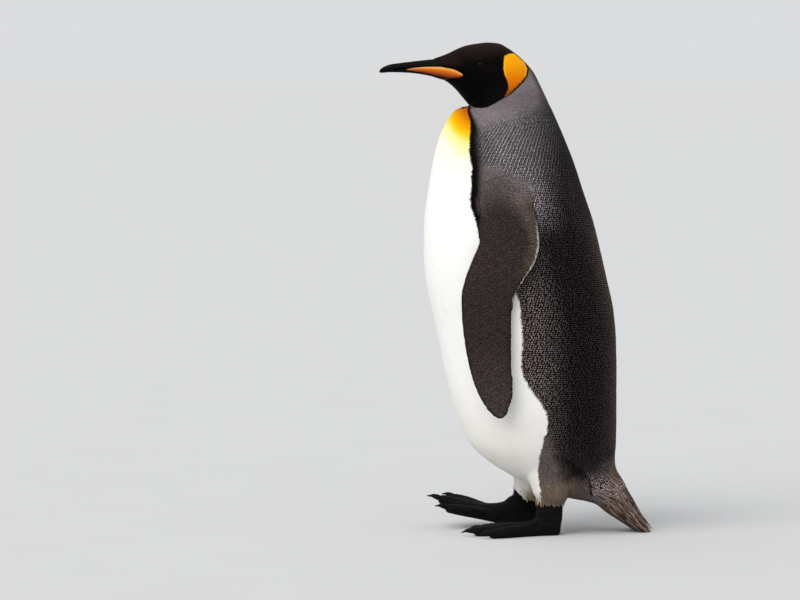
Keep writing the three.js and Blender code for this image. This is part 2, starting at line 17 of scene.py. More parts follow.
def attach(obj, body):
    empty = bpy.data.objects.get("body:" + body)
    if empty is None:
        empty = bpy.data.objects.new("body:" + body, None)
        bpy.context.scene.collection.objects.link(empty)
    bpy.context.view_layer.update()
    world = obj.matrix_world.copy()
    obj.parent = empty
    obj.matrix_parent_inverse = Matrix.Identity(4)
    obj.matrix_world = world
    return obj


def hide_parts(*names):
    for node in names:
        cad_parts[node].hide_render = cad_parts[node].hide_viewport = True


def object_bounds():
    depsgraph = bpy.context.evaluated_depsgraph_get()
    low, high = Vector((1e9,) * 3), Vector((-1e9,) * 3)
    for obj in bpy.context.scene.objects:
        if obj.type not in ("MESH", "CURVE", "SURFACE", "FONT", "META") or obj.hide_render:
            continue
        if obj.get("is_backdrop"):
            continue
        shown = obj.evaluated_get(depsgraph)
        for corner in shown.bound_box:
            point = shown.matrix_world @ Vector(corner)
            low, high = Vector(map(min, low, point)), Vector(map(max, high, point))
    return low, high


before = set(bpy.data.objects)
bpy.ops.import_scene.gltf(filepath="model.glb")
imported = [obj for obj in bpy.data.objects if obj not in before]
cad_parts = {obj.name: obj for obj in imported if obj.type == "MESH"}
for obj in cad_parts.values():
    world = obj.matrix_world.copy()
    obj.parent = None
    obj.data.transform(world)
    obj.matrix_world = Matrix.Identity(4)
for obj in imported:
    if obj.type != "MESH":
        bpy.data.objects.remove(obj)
CAD_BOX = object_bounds()
scene = bpy.context.scene
rng = np.random.default_rng(20)
MM = 0.001
CY = 0.98                      # the whole bird is shifted this much so its box is centred

# ------------------------------------------------------------------ camera
TARGET = Vector((0.0, -0.185, 0.371))
ELEV = math.radians(3.5)
DIST = 7.0
cam_data = bpy.data.cameras.new("camera")
cam = bpy.data.objects.new("camera", cam_data)
scene.collection.objects.link(cam)
cam.location = TARGET + Vector((math.cos(ELEV), 0.0, math.sin(ELEV))) * DIST
cam.rotation_euler = (TARGET - cam.location).to_track_quat("-Z", "Y").to_euler()
cam_data.sensor_width = 36.0
cam_data.lens = 36.0 * DIST / 1.28
cam_data.clip_end = 100.0
scene.camera = cam

# ------------------------------------------------------------------ tables
BODY = np.array([
    [-136.4, 756.0, -132.4, 729.4, 10.5, 0.50, 2.00],
    [-122.0, 760.2, -118.8, 723.8, 14.0, 0.50, 2.00],
    [-107.6, 766.0, -106.8, 716.6, 20.0, 0.52, 2.05],
    [-94.0, 772.6, -96.4, 706.8, 26.5, 0.53, 2.10],
    [-80.4, 777.6, -87.6, 696.4, 32.0, 0.54, 2.15],
    [-64.4, 780.5, -80.4, 687.8, 36.0, 0.54, 2.20],
    [-46.8, 782.4, -75.9, 682.4, 38.5, 0.54, 2.20],
    [-29.2, 781.0, -75.3, 681.2, 40.0, 0.53, 2.20],
    [-13.2, 772.8, -75.6, 680.8, 41.0, 0.52, 2.20],
    [2.0, 761.6, -76.2, 680.6, 42.0, 0.51, 2.20],
    [15.6, 748.8, -77.2, 680.5, 43.5, 0.50, 2.20],
    [27.3, 734.4, -78.8, 680.3, 46.0, 0.50, 2.20],
    [37.2, 715.2, -81.2, 680.0, 49.5, 0.50, 2.20],
    [47.6, 693.6, -87.6, 679.5, 54.0, 0.50, 2.20],
    [57.7, 672.8, -97.5, 674.7, 60.0, 0.50, 2.20],
    [68.1, 649.6, -111.0, 657.5, 68.0, 0.50, 2.20],
    [79.6, 622.4, -124.9, 626.4, 78.0, 0.50, 2.20],
    [92.1, 590.4, -133.5, 592.0, 88.5, 0.50, 2.20],
    [106.8, 545.6, -141.2, 545.6, 100.5, 0.50, 2.20],
    [122.8, 497.6, -147.3, 497.6, 109.0, 0.50, 2.20],
    [134.8, 449.6, -148.2, 449.6, 115.0, 0.50, 2.20],
    [145.7, 401.6, -144.4, 401.6, 120.0, 0.50, 2.20],
    [155.8, 353.6, -134.3, 353.6, 123.5, 0.50, 2.20],
    [159.9, 305.6, -123.6, 305.6, 125.0, 0.50, 2.20],
    [160.9, 257.6, -114.0, 257.6, 124.5, 0.50, 2.20],
    [160.9, 212.8, -102.8, 212.8, 121.5, 0.50, 2.20],
    [160.9, 174.4, -90.0, 174.4, 115.0, 0.50, 2.20],
    [160.2, 142.4, -73.2, 140.0, 105.0, 0.50, 2.20],
    [158.6, 120.0, -42.0, 111.2, 92.0, 0.50, 2.15],
    [159.0, 108.8, -10.0, 91.2, 80.0, 0.50, 2.10],
    [162.0, 97.6, 22.0, 72.0, 68.0, 0.50, 2.10],
    [168.2, 87.2, 58.8, 57.6, 56.0, 0.50, 2.05],
    [174.4, 75.6, 95.6, 50.4, 47.0, 0.50, 2.00],
    [182.4, 60.8, 124.4, 45.0, 42.0, 0.50, 2.00],
    [192.2, 44.3, 141.2, 32.6, 40.0, 0.50, 2.00],
    [201.2, 27.4, 159.6, 20.4, 37.0, 0.50, 2.00],
    [210.8, 13.2, 178.8, 8.0, 33.0, 0.50, 2.00],
    [218.2, -1.5, 197.0, -3.5, 27.0, 0.50, 2.00],
])
# depth of the coat at each body station, and feather spacing along and across
DEPTH = np.interp(np.arange(len(BODY)), [0, 3, 7, 10, 13, 16, 19, 28, 31, 37],
                  [0.7, 1.0, 1.5, 2.0, 2.6, 3.4, 4.0, 4.0, 3.6, 2.6])

FLIPPER = np.array([
    [-45.2, 576.0, 6.0, 576.0, 66, 72, 26],
    [-54.8, 553.6, 16.0, 548.8, 76, 84, 28],
    [-60.4, 526.4, 23.2, 521.6, 88, 97, 27],
    [-61.2, 497.6, 29.0, 492.8, 100, 109, 25],
    [-59.4, 467.2, 32.4, 459.2, 111, 119, 22],
    [-71.3, 435.2, 26.6, 432.0, 119, 126.5, 19],
    [-83.5, 404.8, 7.6, 401.6, 126, 132, 17],
    [-89.8, 372.8, -6.8, 372.8, 130.5, 136, 15],
    [-88.2, 337.6, -11.4, 337.6, 134, 138.5, 13.5],
    [-84.2, 302.4, -12.2, 302.4, 136.5, 139.5, 12],
    [-77.8, 268.8, -10.6, 268.8, 137.8, 139.8, 10.5],
    [-69.2, 238.4, -8.8, 238.4, 138, 139.5, 9],
    [-57.0, 212.0, -9.4, 212.8, 137.5, 138.5, 7.5],
    [-45.2, 195.6, -15.0, 196.0, 136.8, 137.5, 6],
    [-36.2, 187.8, -22.4, 187.8, 136.2, 136.6, 4.2],
    [-30.6, 184.5, -27.2, 184.4, 136, 136, 2.5],
])
SHOULDER_LIFT = 7.5
# upper edge of the flipper's dark scales, y z in side view
ARCH = np.array([[-57.5, 522], [-48.1, 532], [-37.1, 539.9], [-21.4, 539.9], [-8.9, 533.7], [2.1, 522.8], [13.1, 507.1], [22.4, 488.4], [34, 462]])

LEG_LEFT = [[53, 55, 136, 36, 45], [54, 54, 116, 36, 43], [56, 53, 94, 31, 36],
            [57.5, 54, 76, 26, 30], [58, 56, 65, 22, 26]]
LEG_RIGHT = [[-53, 31, 134, 36, 42], [-54, 28, 116, 35, 38], [-56, 25, 96, 31, 32],
             [-57.5, 23.5, 77, 26.5, 25.5], [-58, 23.5, 58, 22, 21]]

TOES = {
    "middle": [[0, 25, 13, 15, 12], [1, 66, 11.5, 13, 11], [2.6, 105, 10, 12, 9.6], [3, 134, 8.6, 9, 8]],
    "inner": [[-5, 29, 11.5, 13, 11], [-17, 66, 10.5, 12.4, 10], [-31, 101, 9.4, 11.2, 9], [-36.5, 119, 8, 8.6, 7.6]],
    "outer": [[5, 29, 11.5, 13, 11], [17, 64, 10.5, 12.4, 10], [32, 97, 9.4, 11.2, 9], [38.5, 115, 8, 8.6, 7.6]],
    "hind": [[-10, 12, 10, 7, 7], [-18, 22, 8.4, 6, 6], [-21, 30, 7.2, 5, 5]],
}
FOOT_LENGTH = 162.0
CLAW_ROOT = {"middle": (3, FOOT_LENGTH - 22, 8.6, 0), "inner": (-37.6, 123.5, 8.2, -17),
             "outer": (39.6, 119.5, 8.2, 17), "hind": (-21.6, 32, 7, -14)}
CLAW_LENGTH = 18.0
WEB = [[-15, 20], [-21, 64], [-34, 99], [-29, 109], [-15, 107], [0, 117], [18, 105], [32, 106], [37, 95], [21, 62], [15, 20]]
LEFT_SHANK = [[[0, 16.5, 10, 16, 16.5], [0, 18.5, 26, 16, 21], [0, 18, 47, 15.5, 21.5], [0, 14.5, 72, 14, 18]],
              [[0, 22, 27, 14, 15], [0, 36, 16, 15.5, 12.5], [0, 58, 11.5, 13.5, 10]]]
RIGHT_SHANK = [[[0, 10, 13, 16, 14], [0, 12.5, 26, 16, 19.5], [0, 18.5, 38, 15, 20.5]],
               [[0, 28, 25, 15, 15], [0, 44, 17, 16.5, 14], [0, 64, 12.5, 16.5, 12], [0, 88, 10, 14, 10]]]
RIGHT_ANKLE = [[-57, 16, 17, 15, 18.5], [-57, 18.5, 34, 16.5, 23], [-57.5, 19, 54, 16.5, 22], [-57.5, 21, 74, 14, 18]]
LEFT_FOOT = (56.0, 70.0, -0.8, 0.0, 8.0, 0.0)        # x, y, z, pitch, yaw, roll
RIGHT_FOOT = (-56.0, 9.0, -3.4, 16.5, -3.0, 8.0)

EYE = np.array([29.8, -57.4 + CY, 746.6])
EYE_R = 8.2
LID = (6.3, 3.9)                                 # half length and half height of the opening

UPPER_BILL = np.array([
    [-219.4, 736.0, -218.4, 733.8, 1.3, 0.45, 2.0],
    [-216.5, 740.6, -214.6, 735.8, 2.6, 0.40, 2.0],
    [-210.4, 744.3, -208.4, 737.3, 3.7, 0.35, 2.0],
    [-202.0, 747.4, -202.0, 738.5, 4.7, 0.32, 2.0],
    [-186.0, 749.8, -186.0, 740.3, 6.2, 0.30, 2.0],
    [-170.0, 751.7, -170.0, 741.7, 7.4, 0.28, 2.0],
    [-154.0, 753.6, -154.0, 742.8, 8.8, 0.26, 2.0],
    [-136.4, 755.4, -138.0, 743.5, 11.0, 0.24, 2.1],
    [-122.0, 756.4, -122.0, 743.2, 13.8, 0.22, 2.1],
    [-108.0, 755.6, -108.0, 741.4, 16.6, 0.22, 2.1],
    [-98.0, 754.0, -98.0, 739.6, 17.5, 0.25, 2.1],
])
LOWER_BILL = np.array([
    [-214.4, 735.2, -213.8, 733.6, 1.2, 0.5, 2.0],
    [-208.4, 736.9, -208.4, 734.5, 2.6, 0.6, 2.0],
    [-202.0, 738.1, -202.0, 734.9, 3.5, 0.6, 2.0],
    [-186.0, 739.9, -186.0, 734.6, 5.0, 0.6, 2.0],
    [-170.0, 741.3, -170.0, 733.8, 6.4, 0.6, 2.0],
    [-154.0, 742.4, -154.0, 731.9, 8.0, 0.6, 2.0],
    [-138.0, 743.1, -138.0, 728.9, 10.6, 0.55, 2.1],
    [-122.0, 742.8, -122.0, 724.0, 15.0, 0.5, 2.2],
    [-112.0, 741.0, -112.0, 721.9, 18.4, 0.5, 2.2],
    [-102.0, 739.6, -103.0, 722.4, 23.6, 0.5, 2.2],
    [-94.0, 737.0, -95.0, 723.4, 27.2, 0.5, 2.2],
    [-88.0, 734.2, -89.0, 725.6, 30.0, 0.5, 2.1],
    [-84.4, 731.6, -85.0, 727.8, 31.4, 0.5, 2.0],
])
# coloured plate of the mandible: y, lower z, upper z
PLATE = np.array([
    [-175.5, 738.6, 739.4], [-166.8, 737.5, 741.5], [-154.0, 735.3, 742.8], [-138.0, 732.3, 743.7],
    [-124.0, 729.2, 743.7], [-114.0, 727.2, 742.8], [-105.0, 725.9, 740.9], [-97.0, 725.5, 738.0], [-92.0, 726.0, 735.3],
    [-88.4, 727.3, 733.0], [-86.2, 729.2, 731.4],
])

# Markings in side view, y z in millimetres
WHITE_EDGE = np.array([                          # rear edge of the white front, from the throat down
    [-75.5, 683.4], [-78.8, 675.6], [-74.2, 660.0], [-73.6, 644.4], [-76.0, 628.8], [-76.2, 613.2], [-73.9, 597.6],
    [-71.6, 582.0], [-73.2, 566.4], [-72.5, 550.8], [-74.8, 535.1], [-72.5, 519.4], [-67.0, 503.8], [-62.3, 488.2],
    [-59.2, 467.7], [-48.2, 448.9], [-32.5, 428.6], [-16.8, 409.8], [-4.2, 394.2], [-1.1, 383.2], [2.1, 373.7],
    [3.7, 354.9], [6.8, 331.3], [7.6, 307.7], [5.3, 284.0], [6.2, 268.2], [10.1, 255.5], [16.5, 242.8],
    [24.5, 230.0], [34.0, 218.7], [40.4, 209.1], [45.2, 196.3], [47.7, 183.3], [45.5, 168.6], [41.0, 155.5],
    [38.0, 139.1], [35.0, 122.8], [33.6, 106.4], [35.4, 89.9], [38.7, 73.6], [40.5, 57.2], [40.6, 41.0]])
HOOD = np.array([[-400, 687.6], [-86, 687.6], [-77, 684.8], [-69, 679.5], [-58, 678.5], [-47, 679.7], [-34.5, 685.7], [-26.5, 690.4],
                 [-20, 693.3], [-10, 699.8], [-2.5, 706], [3.5, 712.4], [11.5, 720], [17.8, 728.5], [20.3, 740.4],
                 [18, 748.5], [13, 756], [8, 762], [5, 775], [5, 900], [-400, 900]], float)
EAR = np.array([[-18.5, 761.0], [-10.5, 764.5], [-4.1, 764.6], [3.9, 761.0], [10.2, 754.6], [15.0, 746.7], [17.3, 740.4],
                [14.8, 729.3], [8.4, 721.5], [0.4, 713.6], [-5.9, 707.2], [-12.3, 700.9], [-18.6, 695.4], [-21.7, 693.8],
                [-17.8, 699.3], [-13.8, 707.2], [-13.0, 715.1], [-14.6, 721.5], [-18.5, 730.9], [-20.4, 742.0],
                [-20.1, 754.7]])
BAND = np.array([[690, 3.0], [676, 3.5], [662, 6.0], [650, 8.5], [640, 10.5], [620, 12.0], [600, 12.5], [560, 12.5],
                 [540, 12], [520, 11], [500, 10], [480, 9]])   # z, width of the black band behind the white


# ------------------------------------------------------------- small tools
def sstep(a, b, x):
    t = np.clip((x - a) / (b - a), 0.0, 1.0)
    return t * t * (3.0 - 2.0 * t)


def mix(a, b, f):
    f = np.asarray(f)[..., None]
    return np.asarray(a) * (1.0 - f) + np.asarray(b) * f


def unit(v):
    return v / np.maximum(np.linalg.norm(v, axis=-1, keepdims=True), 1e-12)


def monotone(values):
    """Monotone cubic through the rows of a table, evaluated at row numbers."""
    v = np.asarray(values, float)
    if v.ndim == 1:
        v = v[:, None]
    d = np.diff(v, axis=0)
    m = np.zeros_like(v)
    m[0], m[-1] = d[0], d[-1]
    a, b = d[:-1], d[1:]
    s = a * b
    m[1:-1] = np.where(s > 0, 2 * s / np.where(np.abs(a + b) < 1e-12, 1.0, a + b), 0.0)

    def at(t):
        t = np.asarray(t, float)
        i = np.clip(np.floor(t).astype(int), 0, len(v) - 2)
        x = (t - i)[..., None]
        x2, x3 = x * x, x * x * x
        return ((2 * x3 - 3 * x2 + 1) * v[i] + (x3 - 2 * x2 + x) * m[i]
                + (3 * x2 - 2 * x3) * v[i + 1] + (x3 - x2) * m[i + 1])
    return at


def polygon_distance(points, poly):
    """Signed distance in side view, positive inside the polygon."""
    p = points[:, None, :]
    a = poly[None, :, :]
    b = np.roll(poly, -1, axis=0)[None, :, :]
    ab = b - a
    t = np.clip(((p - a) * ab).sum(-1) / (ab * ab).sum(-1), 0, 1)
    near = np.sqrt((((a + ab * t[..., None]) - p) ** 2).sum(-1)).min(1)
    cross = ((a[..., 1] > p[..., 1]) != (b[..., 1] > p[..., 1])) & (
        p[..., 0] < (b[..., 0] - a[..., 0]) * (p[..., 1] - a[..., 1]) / np.where(b[..., 1] == a[..., 1], 1e-9, b[..., 1] - a[..., 1]) + a[..., 0])
    return np.where(cross.sum(1) % 2 == 1, near, -near)


def wobble(p, scale, seed):
    """Smooth repeatable noise of about -1 to 1 at points in millimetres."""
    r = np.random.default_rng(seed)
    out = np.zeros(len(p))
    for k in range(7):
        w = unit(r.normal(size=3)) * (2 * math.pi / scale) * r.uniform(0.6, 1.9)
        out += np.sin(p @ w + r.uniform(0, 6.28))
    return out / 3.2


def thin(points, radius):
    """Keep points in order, dropping those closer than their radius to a kept one."""
    cell = float(radius.max())
    grid = {}
    keep = np.zeros(len(points), bool)
    keys = np.floor(points / cell).astype(int)
    pl, kl, rl = points.tolist(), keys.tolist(), (radius ** 2).tolist()
    for i, (p, k, r2) in enumerate(zip(pl, kl, rl)):
        ok = True
        for dx in (-1, 0, 1):
            for dy in (-1, 0, 1):
                for dz in (-1, 0, 1):
                    for q in grid.get((k[0] + dx, k[1] + dy, k[2] + dz), ()):
                        if (q[0] - p[0]) ** 2 + (q[1] - p[1]) ** 2 + (q[2] - p[2]) ** 2 < r2:
                            ok = False
                            break
                    if not ok:
                        break
                if not ok:
                    break
            if not ok:
                break
        if ok:
            keep[i] = True
            grid.setdefault(tuple(k), []).append(p)
    return keep


class Surface:
    """A lofted surface: rings of points, rings along t, points round by a."""

    def __init__(self, P):
        self.P = P
        self.nt, self.na = P.shape[:2]
        dt = np.gradient(P, axis=0)
        da = (np.roll(P, -1, axis=1) - np.roll(P, 1, axis=1)) / 2
        n = np.cross(dt, da)
        centre = P.mean(axis=1, keepdims=True)
        if (n * (P - centre)).sum() < 0:
            n = -n
        self.N = unit(n)
        self.T = unit(dt)
        self.st = np.linalg.norm(dt, axis=-1)
        self.ring = np.linalg.norm(np.roll(P, -1, axis=1) - P, axis=-1)
        self.around = self.ring.sum(axis=1)

    def at(self, t, a, field):
        """Bilinear value of a grid field at fractional t and a."""
        t = np.clip(t, 0, self.nt - 1.001)
        i = t.astype(int)
        x = (t - i)[:, None]
        a = np.mod(a, self.na)
        j = a.astype(int) % self.na
        y = (a - np.floor(a))[:, None]
        k = (j + 1) % self.na
        return ((field[i, j] * (1 - y) + field[i, k] * y) * (1 - x)
                + (field[i + 1, j] * (1 - y) + field[i + 1, k] * y) * x)

    def mesh(self, inset=None):
        P = self.P if inset is None else self.P - self.N * inset
        n, m = self.nt, self.na
        verts = np.concatenate([P.reshape(-1, 3), P[0].mean(0)[None], P[-1].mean(0)[None]])
        i, j = np.meshgrid(np.arange(n - 1), np.arange(m), indexing="ij")
        k = (j + 1) % m
        quads = np.stack([i * m + j, i * m + k, (i + 1) * m + k, (i + 1) * m + j], -1).reshape(-1, 4)
        faces = quads.tolist()
        a = n * m
        for q in range(m):
            r = (q + 1) % m
            faces.append([a, r, q])
            faces.append([a + 1, (n - 1) * m + q, (n - 1) * m + r])
        return verts, faces


def section_loft(rows, per, count, shift=CY):
    """Sections across lines from a front point to a back point."""
    f = monotone(rows)
    t = np.linspace(0, len(rows) - 1, (len(rows) - 1) * per + 1)
    by, bz, fy, fz, half, place, square = f(t).T
    w = np.linspace(0, 2 * np.pi, count, endpoint=False)
    c, s = np.cos(w), np.sin(w)
    e = (2 / square)[:, None]
    along = np.sign(c) * np.abs(c) ** e
    out = np.sign(s) * np.abs(s) ** e
    length = np.hypot(by - fy, bz - fz)[:, None]
    uy, uz = (by - fy)[:, None] / length, (bz - fz)[:, None] / length
    reach = np.where(along > 0, length * (1 - place[:, None]), length * place[:, None])
    at = length * place[:, None] + along * reach
    P = np.stack([out * half[:, None], fy[:, None] + uy * at + shift, fz[:, None] + uz * at], -1)
    return Surface(P)


def flipper_loft(side, per=10, count=72):
    f = monotone(FLIPPER)
    n = len(FLIPPER) - 1
    t = np.linspace(0, n, n * per + 1)

    def ends(q):
        ly, lz, ty, tz, lx, tx, th = f(np.clip(q, 0, n)).T
        return (np.stack([lx, ly + CY, lz + SHOULDER_LIFT], -1), np.stack([tx, ty + CY, tz + SHOULDER_LIFT], -1), th)
    lead, trail, thick = ends(t)
    l1, t1, _ = ends(t + 0.3)
    l0, t0, _ = ends(t - 0.3)
    span = unit((l1 + t1) - (l0 + t0))
    chord = trail - lead
    width = np.linalg.norm(chord, axis=1)
    chord = unit(chord)
    out = unit(np.cross(chord, span))
    w = np.linspace(0, 2 * np.pi, count, endpoint=False)
    c, s = np.cos(w), np.sin(w)
    taper = 1 - 0.28 * c
    q = np.sign(s) * np.abs(s) ** 0.85 * taper * (thick / 2)[:, None]
    u = c * (width / 2)[:, None]
    P = ((lead + trail) / 2)[:, None, :] + chord[:, None, :] * u[..., None] + out[:, None, :] * q[..., None]
    if side < 0:
        P = P * np.array([-1, 1, 1])
    return Surface(P)


def limb_loft(points, count=28, per=8, grow=0.0):
    pts = np.asarray(points, float)
    f = monotone(pts)
    n = len(pts) - 1
    r0 = min(pts[0][3], pts[0][4]) + grow
    r1 = min(pts[n][3], pts[n][4]) + grow
    arc = [(math.sin(a), math.cos(a)) for a in np.radians([12, 30, 50, 70])]
    seq = [(0.0, q, -h * r0) for q, h in arc] + [(k / per, 1.0, 0.0) for k in range(n * per + 1)]
    seq += [(float(n), q, h * r1) for q, h in reversed(arc)]
    t = np.array([s[0] for s in seq])
    p = f(t)
    d = unit(f(np.clip(t + 0.05, 0, n))[:, :3] - f(np.clip(t - 0.05, 0, n))[:, :3])
    ax = np.array([1.0, 0, 0])
    side = unit(ax - d * (d @ ax)[:, None])
    up = np.cross(d, side)
    w = np.linspace(0, 2 * np.pi, count, endpoint=False)
    shrink = np.array([s[1] for s in seq])
    push = np.array([s[2] for s in seq])
    c = np.cos(w) * ((p[:, 3] + grow) * shrink)[:, None]
    s = np.sin(w) * ((p[:, 4] + grow) * shrink)[:, None]
    P = (p[:, None, :3] + side[:, None] * c[..., None] + up[:, None] * s[..., None] + (d * push[:, None])[:, None])
    return P


def place_matrix(x, y, z, pitch, yaw, roll):
    return (Matrix.Translation((x, y + CY, z)) @ Matrix.Rotation(math.radians(yaw), 4, "Z")
            @ Matrix.Rotation(math.radians(-pitch), 4, "X") @ Matrix.Rotation(math.radians(roll), 4, "Y"))


def moved(P, m):
    m = np.array(m)
    return P @ m[:3, :3].T + m[:3, 3]


def new_object(name, verts, faces, smooth=True):
    me = bpy.data.meshes.new(name)
    me.from_pydata(np.asarray(verts).tolist(), [], faces)
    me.update()
    if smooth:
        me.polygons.foreach_set("use_smooth", np.ones(len(me.polygons), bool))
    ob = bpy.data.objects.new(name, me)
    scene.collection.objects.link(ob)
    return ob


def vertex_array(me):
    v = np.empty(len(me.vertices) * 3, np.float32)
    me.vertices.foreach_get("co", v)
    return v.reshape(-1, 3).astype(float)


def set_attribute(me, name, kind, values):
    old = me.attributes.get(name)
    if old:
        me.attributes.remove(old)
    a = me.attributes.new(name, kind, "POINT")
    v = np.asarray(values, np.float32)
    if kind == "FLOAT":
        a.data.foreach_set("value", v.ravel())
    elif kind == "FLOAT_COLOR":
        if v.shape[1] == 3:
            v = np.concatenate([v, np.ones((len(v), 1), np.float32)], 1)
        a.data.foreach_set("color", v.ravel())
    else:
        a.data.foreach_set("vector", v.ravel())


# ----------------------------------------------------------------- surfaces
body = section_loft(BODY, 14, 192)
body_depth = monotone(DEPTH)(np.linspace(0, len(BODY) - 1, body.nt))[:, 0]
wings = {"left": flipper_loft(1), "right": flipper_loft(-1)}
legs = {}
for side, rows in (("left", LEG_LEFT), ("right", LEG_RIGHT)):
    P = limb_loft(rows, 64, 10)
    P[..., 1] += CY
    legs[side] = Surface(P)


def foot_parts(side, shank, place):
    m = place_matrix(*place)
    flip = lambda rows: [[side * x, -y, z, a, b] for x, y, z, a, b in rows]
    parts = [limb_loft(flip(TOES[n]), 26, 8) for n in ("middle", "inner", "outer", "hind")]
    parts += [limb_loft(flip(rows), 28, 8) for rows in shank]
    out = [(moved(P, m)) for P in parts]
    if side < 0:
        P = limb_loft(RIGHT_ANKLE, 28, 8)
        P[..., 1] += CY
        out.append(P)
    # web between the toes, a little thicker towards the heel
    poly = np.array([[side * x, -y] for x, y in WEB], float)
    lo = np.concatenate([poly, np.full((len(poly), 1), 3.0)], 1)
    hi = np.concatenate([poly, np.full((len(poly), 1), 8.2)], 1)
    hi[[0, -1], 2] = 12.0
    n = len(poly)
    verts = moved(np.concatenate([lo, hi]), m)
    faces = [list(range(n)), list(range(2 * n - 1, n - 1, -1))]
    faces += [[i, n + i, n + (i + 1) % n, (i + 1) % n] for i in range(n)]
    return out, (verts, faces), m


feet = {"left": foot_parts(1, LEFT_SHANK, LEFT_FOOT), "right": foot_parts(-1, RIGHT_SHANK, RIGHT_FOOT)}

# --------------------------------------------------------------------- skin
VOXEL = 0.0024
stack_v, stack_f, stack_part = [], [], []


def stack(verts, faces, part):
    base = sum(len(v) for v in stack_v)
    stack_v.append(np.asarray(verts) * MM)
    stack_f.extend([[base + i for i in f] for f in faces])
    stack_part.extend([part] * len(faces))


stack(*body.mesh(body_depth[:, None, None]), 0)
for side in ("left", "right"):
    stack(*wings[side].mesh(0.6), 1)
    stack(*legs[side].mesh(2.0), 2)
    tubes, web, _ = feet[side]
    for P in tubes:
        stack(*Surface(P).mesh(), 3)
    stack(*web, 3)

raw_v = np.concatenate(stack_v)
part_of_face = np.array(stack_part)
raw = new_object("skin_raw", raw_v, stack_f)
bm = bmesh.new()
bm.from_mesh(raw.data)
bmesh.ops.recalc_face_normals(bm, faces=bm.faces)
bm.to_mesh(raw.data)
bm.free()
raw_tree = BVHTree.FromPolygons([tuple(v) for v in raw_v.tolist()], stack_f)
mod = raw.modifiers.new("join", "REMESH")
mod.mode = "VOXEL"
mod.voxel_size = VOXEL
mod.adaptivity = 0.0
dg = bpy.context.evaluated_depsgraph_get()
skin_mesh = bpy.data.meshes.new_from_object(raw.evaluated_get(dg))
skin_mesh.name = "penguin_skin"
bpy.data.objects.remove(raw)
skin = bpy.data.objects.new("penguin_skin", skin_mesh)
scene.collection.objects.link(skin)


def relax(me, rounds, lam=0.5, mu=-0.53):
    """Smooth a mesh without shrinking it."""
    v = vertex_array(me)
    e = np.empty(len(me.edges) * 2, np.int64)
    me.edges.foreach_get("vertices", e)
    e = e.reshape(-1, 2)
    n = len(v)
    deg = np.bincount(e.ravel(), minlength=n).astype(float)
    for k in range(rounds):
        for w in (lam, mu):
            s = np.stack([np.bincount(e[:, 0], v[e[:, 1], c], n) + np.bincount(e[:, 1], v[e[:, 0], c], n) for c in range(3)], -1)
            v = v + w * (s / np.maximum(deg, 1)[:, None] - v)
    me.vertices.foreach_set("co", v.astype(np.float32).ravel())
    me.update()


relax(skin_mesh, 10)


def soften(me, rounds, where):
    """Plain smoothing of part of a mesh; where gives each vertex's share from 0 to 1."""
    v = vertex_array(me)
    share = where(v / MM)[:, None]
    e = np.empty(len(me.edges) * 2, np.int64)
    me.edges.foreach_get("vertices", e)
    e = e.reshape(-1, 2)
    e = e[(share[e[:, 0], 0] > 0) | (share[e[:, 1], 0] > 0)]
    n = len(v)
    deg = np.maximum(np.bincount(e.ravel(), minlength=n), 1).astype(float)[:, None]
    for k in range(rounds):
        s = np.stack([np.bincount(e[:, 0], v[e[:, 1], c], n) + np.bincount(e[:, 1], v[e[:, 0], c], n) for c in range(3)], -1)
        v = v + 0.5 * share * (s / deg - v)
    me.vertices.foreach_set("co", v.astype(np.float32).ravel())
    me.update()


# thighs flow into the belly and flank without a crease
soften(skin_mesh, 26, lambda p: sstep(62, 82, p[:, 2]) * sstep(152, 128, p[:, 2]) * sstep(128, 108, p[:, 1]))
# so does the root of each flipper
soften(skin_mesh, 46, lambda p: sstep(498, 524, p[:, 2]) * sstep(608, 590, p[:, 2]) * sstep(58, 70, np.abs(p[:, 0])))

# finer faces round the eyes and the feet
bm = bmesh.new()
bm.from_mesh(skin_mesh)


def refine(test, cuts):
    edges = [e for e in bm.edges if test((e.verts[0].co + e.verts[1].co) * 0.5)]
    bmesh.ops.subdivide_edges(bm, edges=edges, cuts=cuts, use_grid_fill=True, smooth=0.0)


eye_l = Vector((EYE[0] * MM, EYE[1] * MM, EYE[2] * MM))
eye_r = Vector((-eye_l.x, eye_l.y, eye_l.z))
refine(lambda c: (c - eye_l).length < 0.0185 or (c - eye_r).length < 0.0185, 3)
refine(lambda c: c.z < 0.066 and c.y < 0.086, 1)
bm.to_mesh(skin_mesh)
bm.free()


def eye_frame(side):
    n = unit(np.array([side * 1.0, -0.10, 0.10]))
    fwd = unit(np.array([0, -1.0, 0.02]) - n * (np.array([0, -1.0, 0.02]) @ n))
    up = np.cross(n, fwd) * side
    if up[2] < 0:
        up = -up
    return n, fwd, up


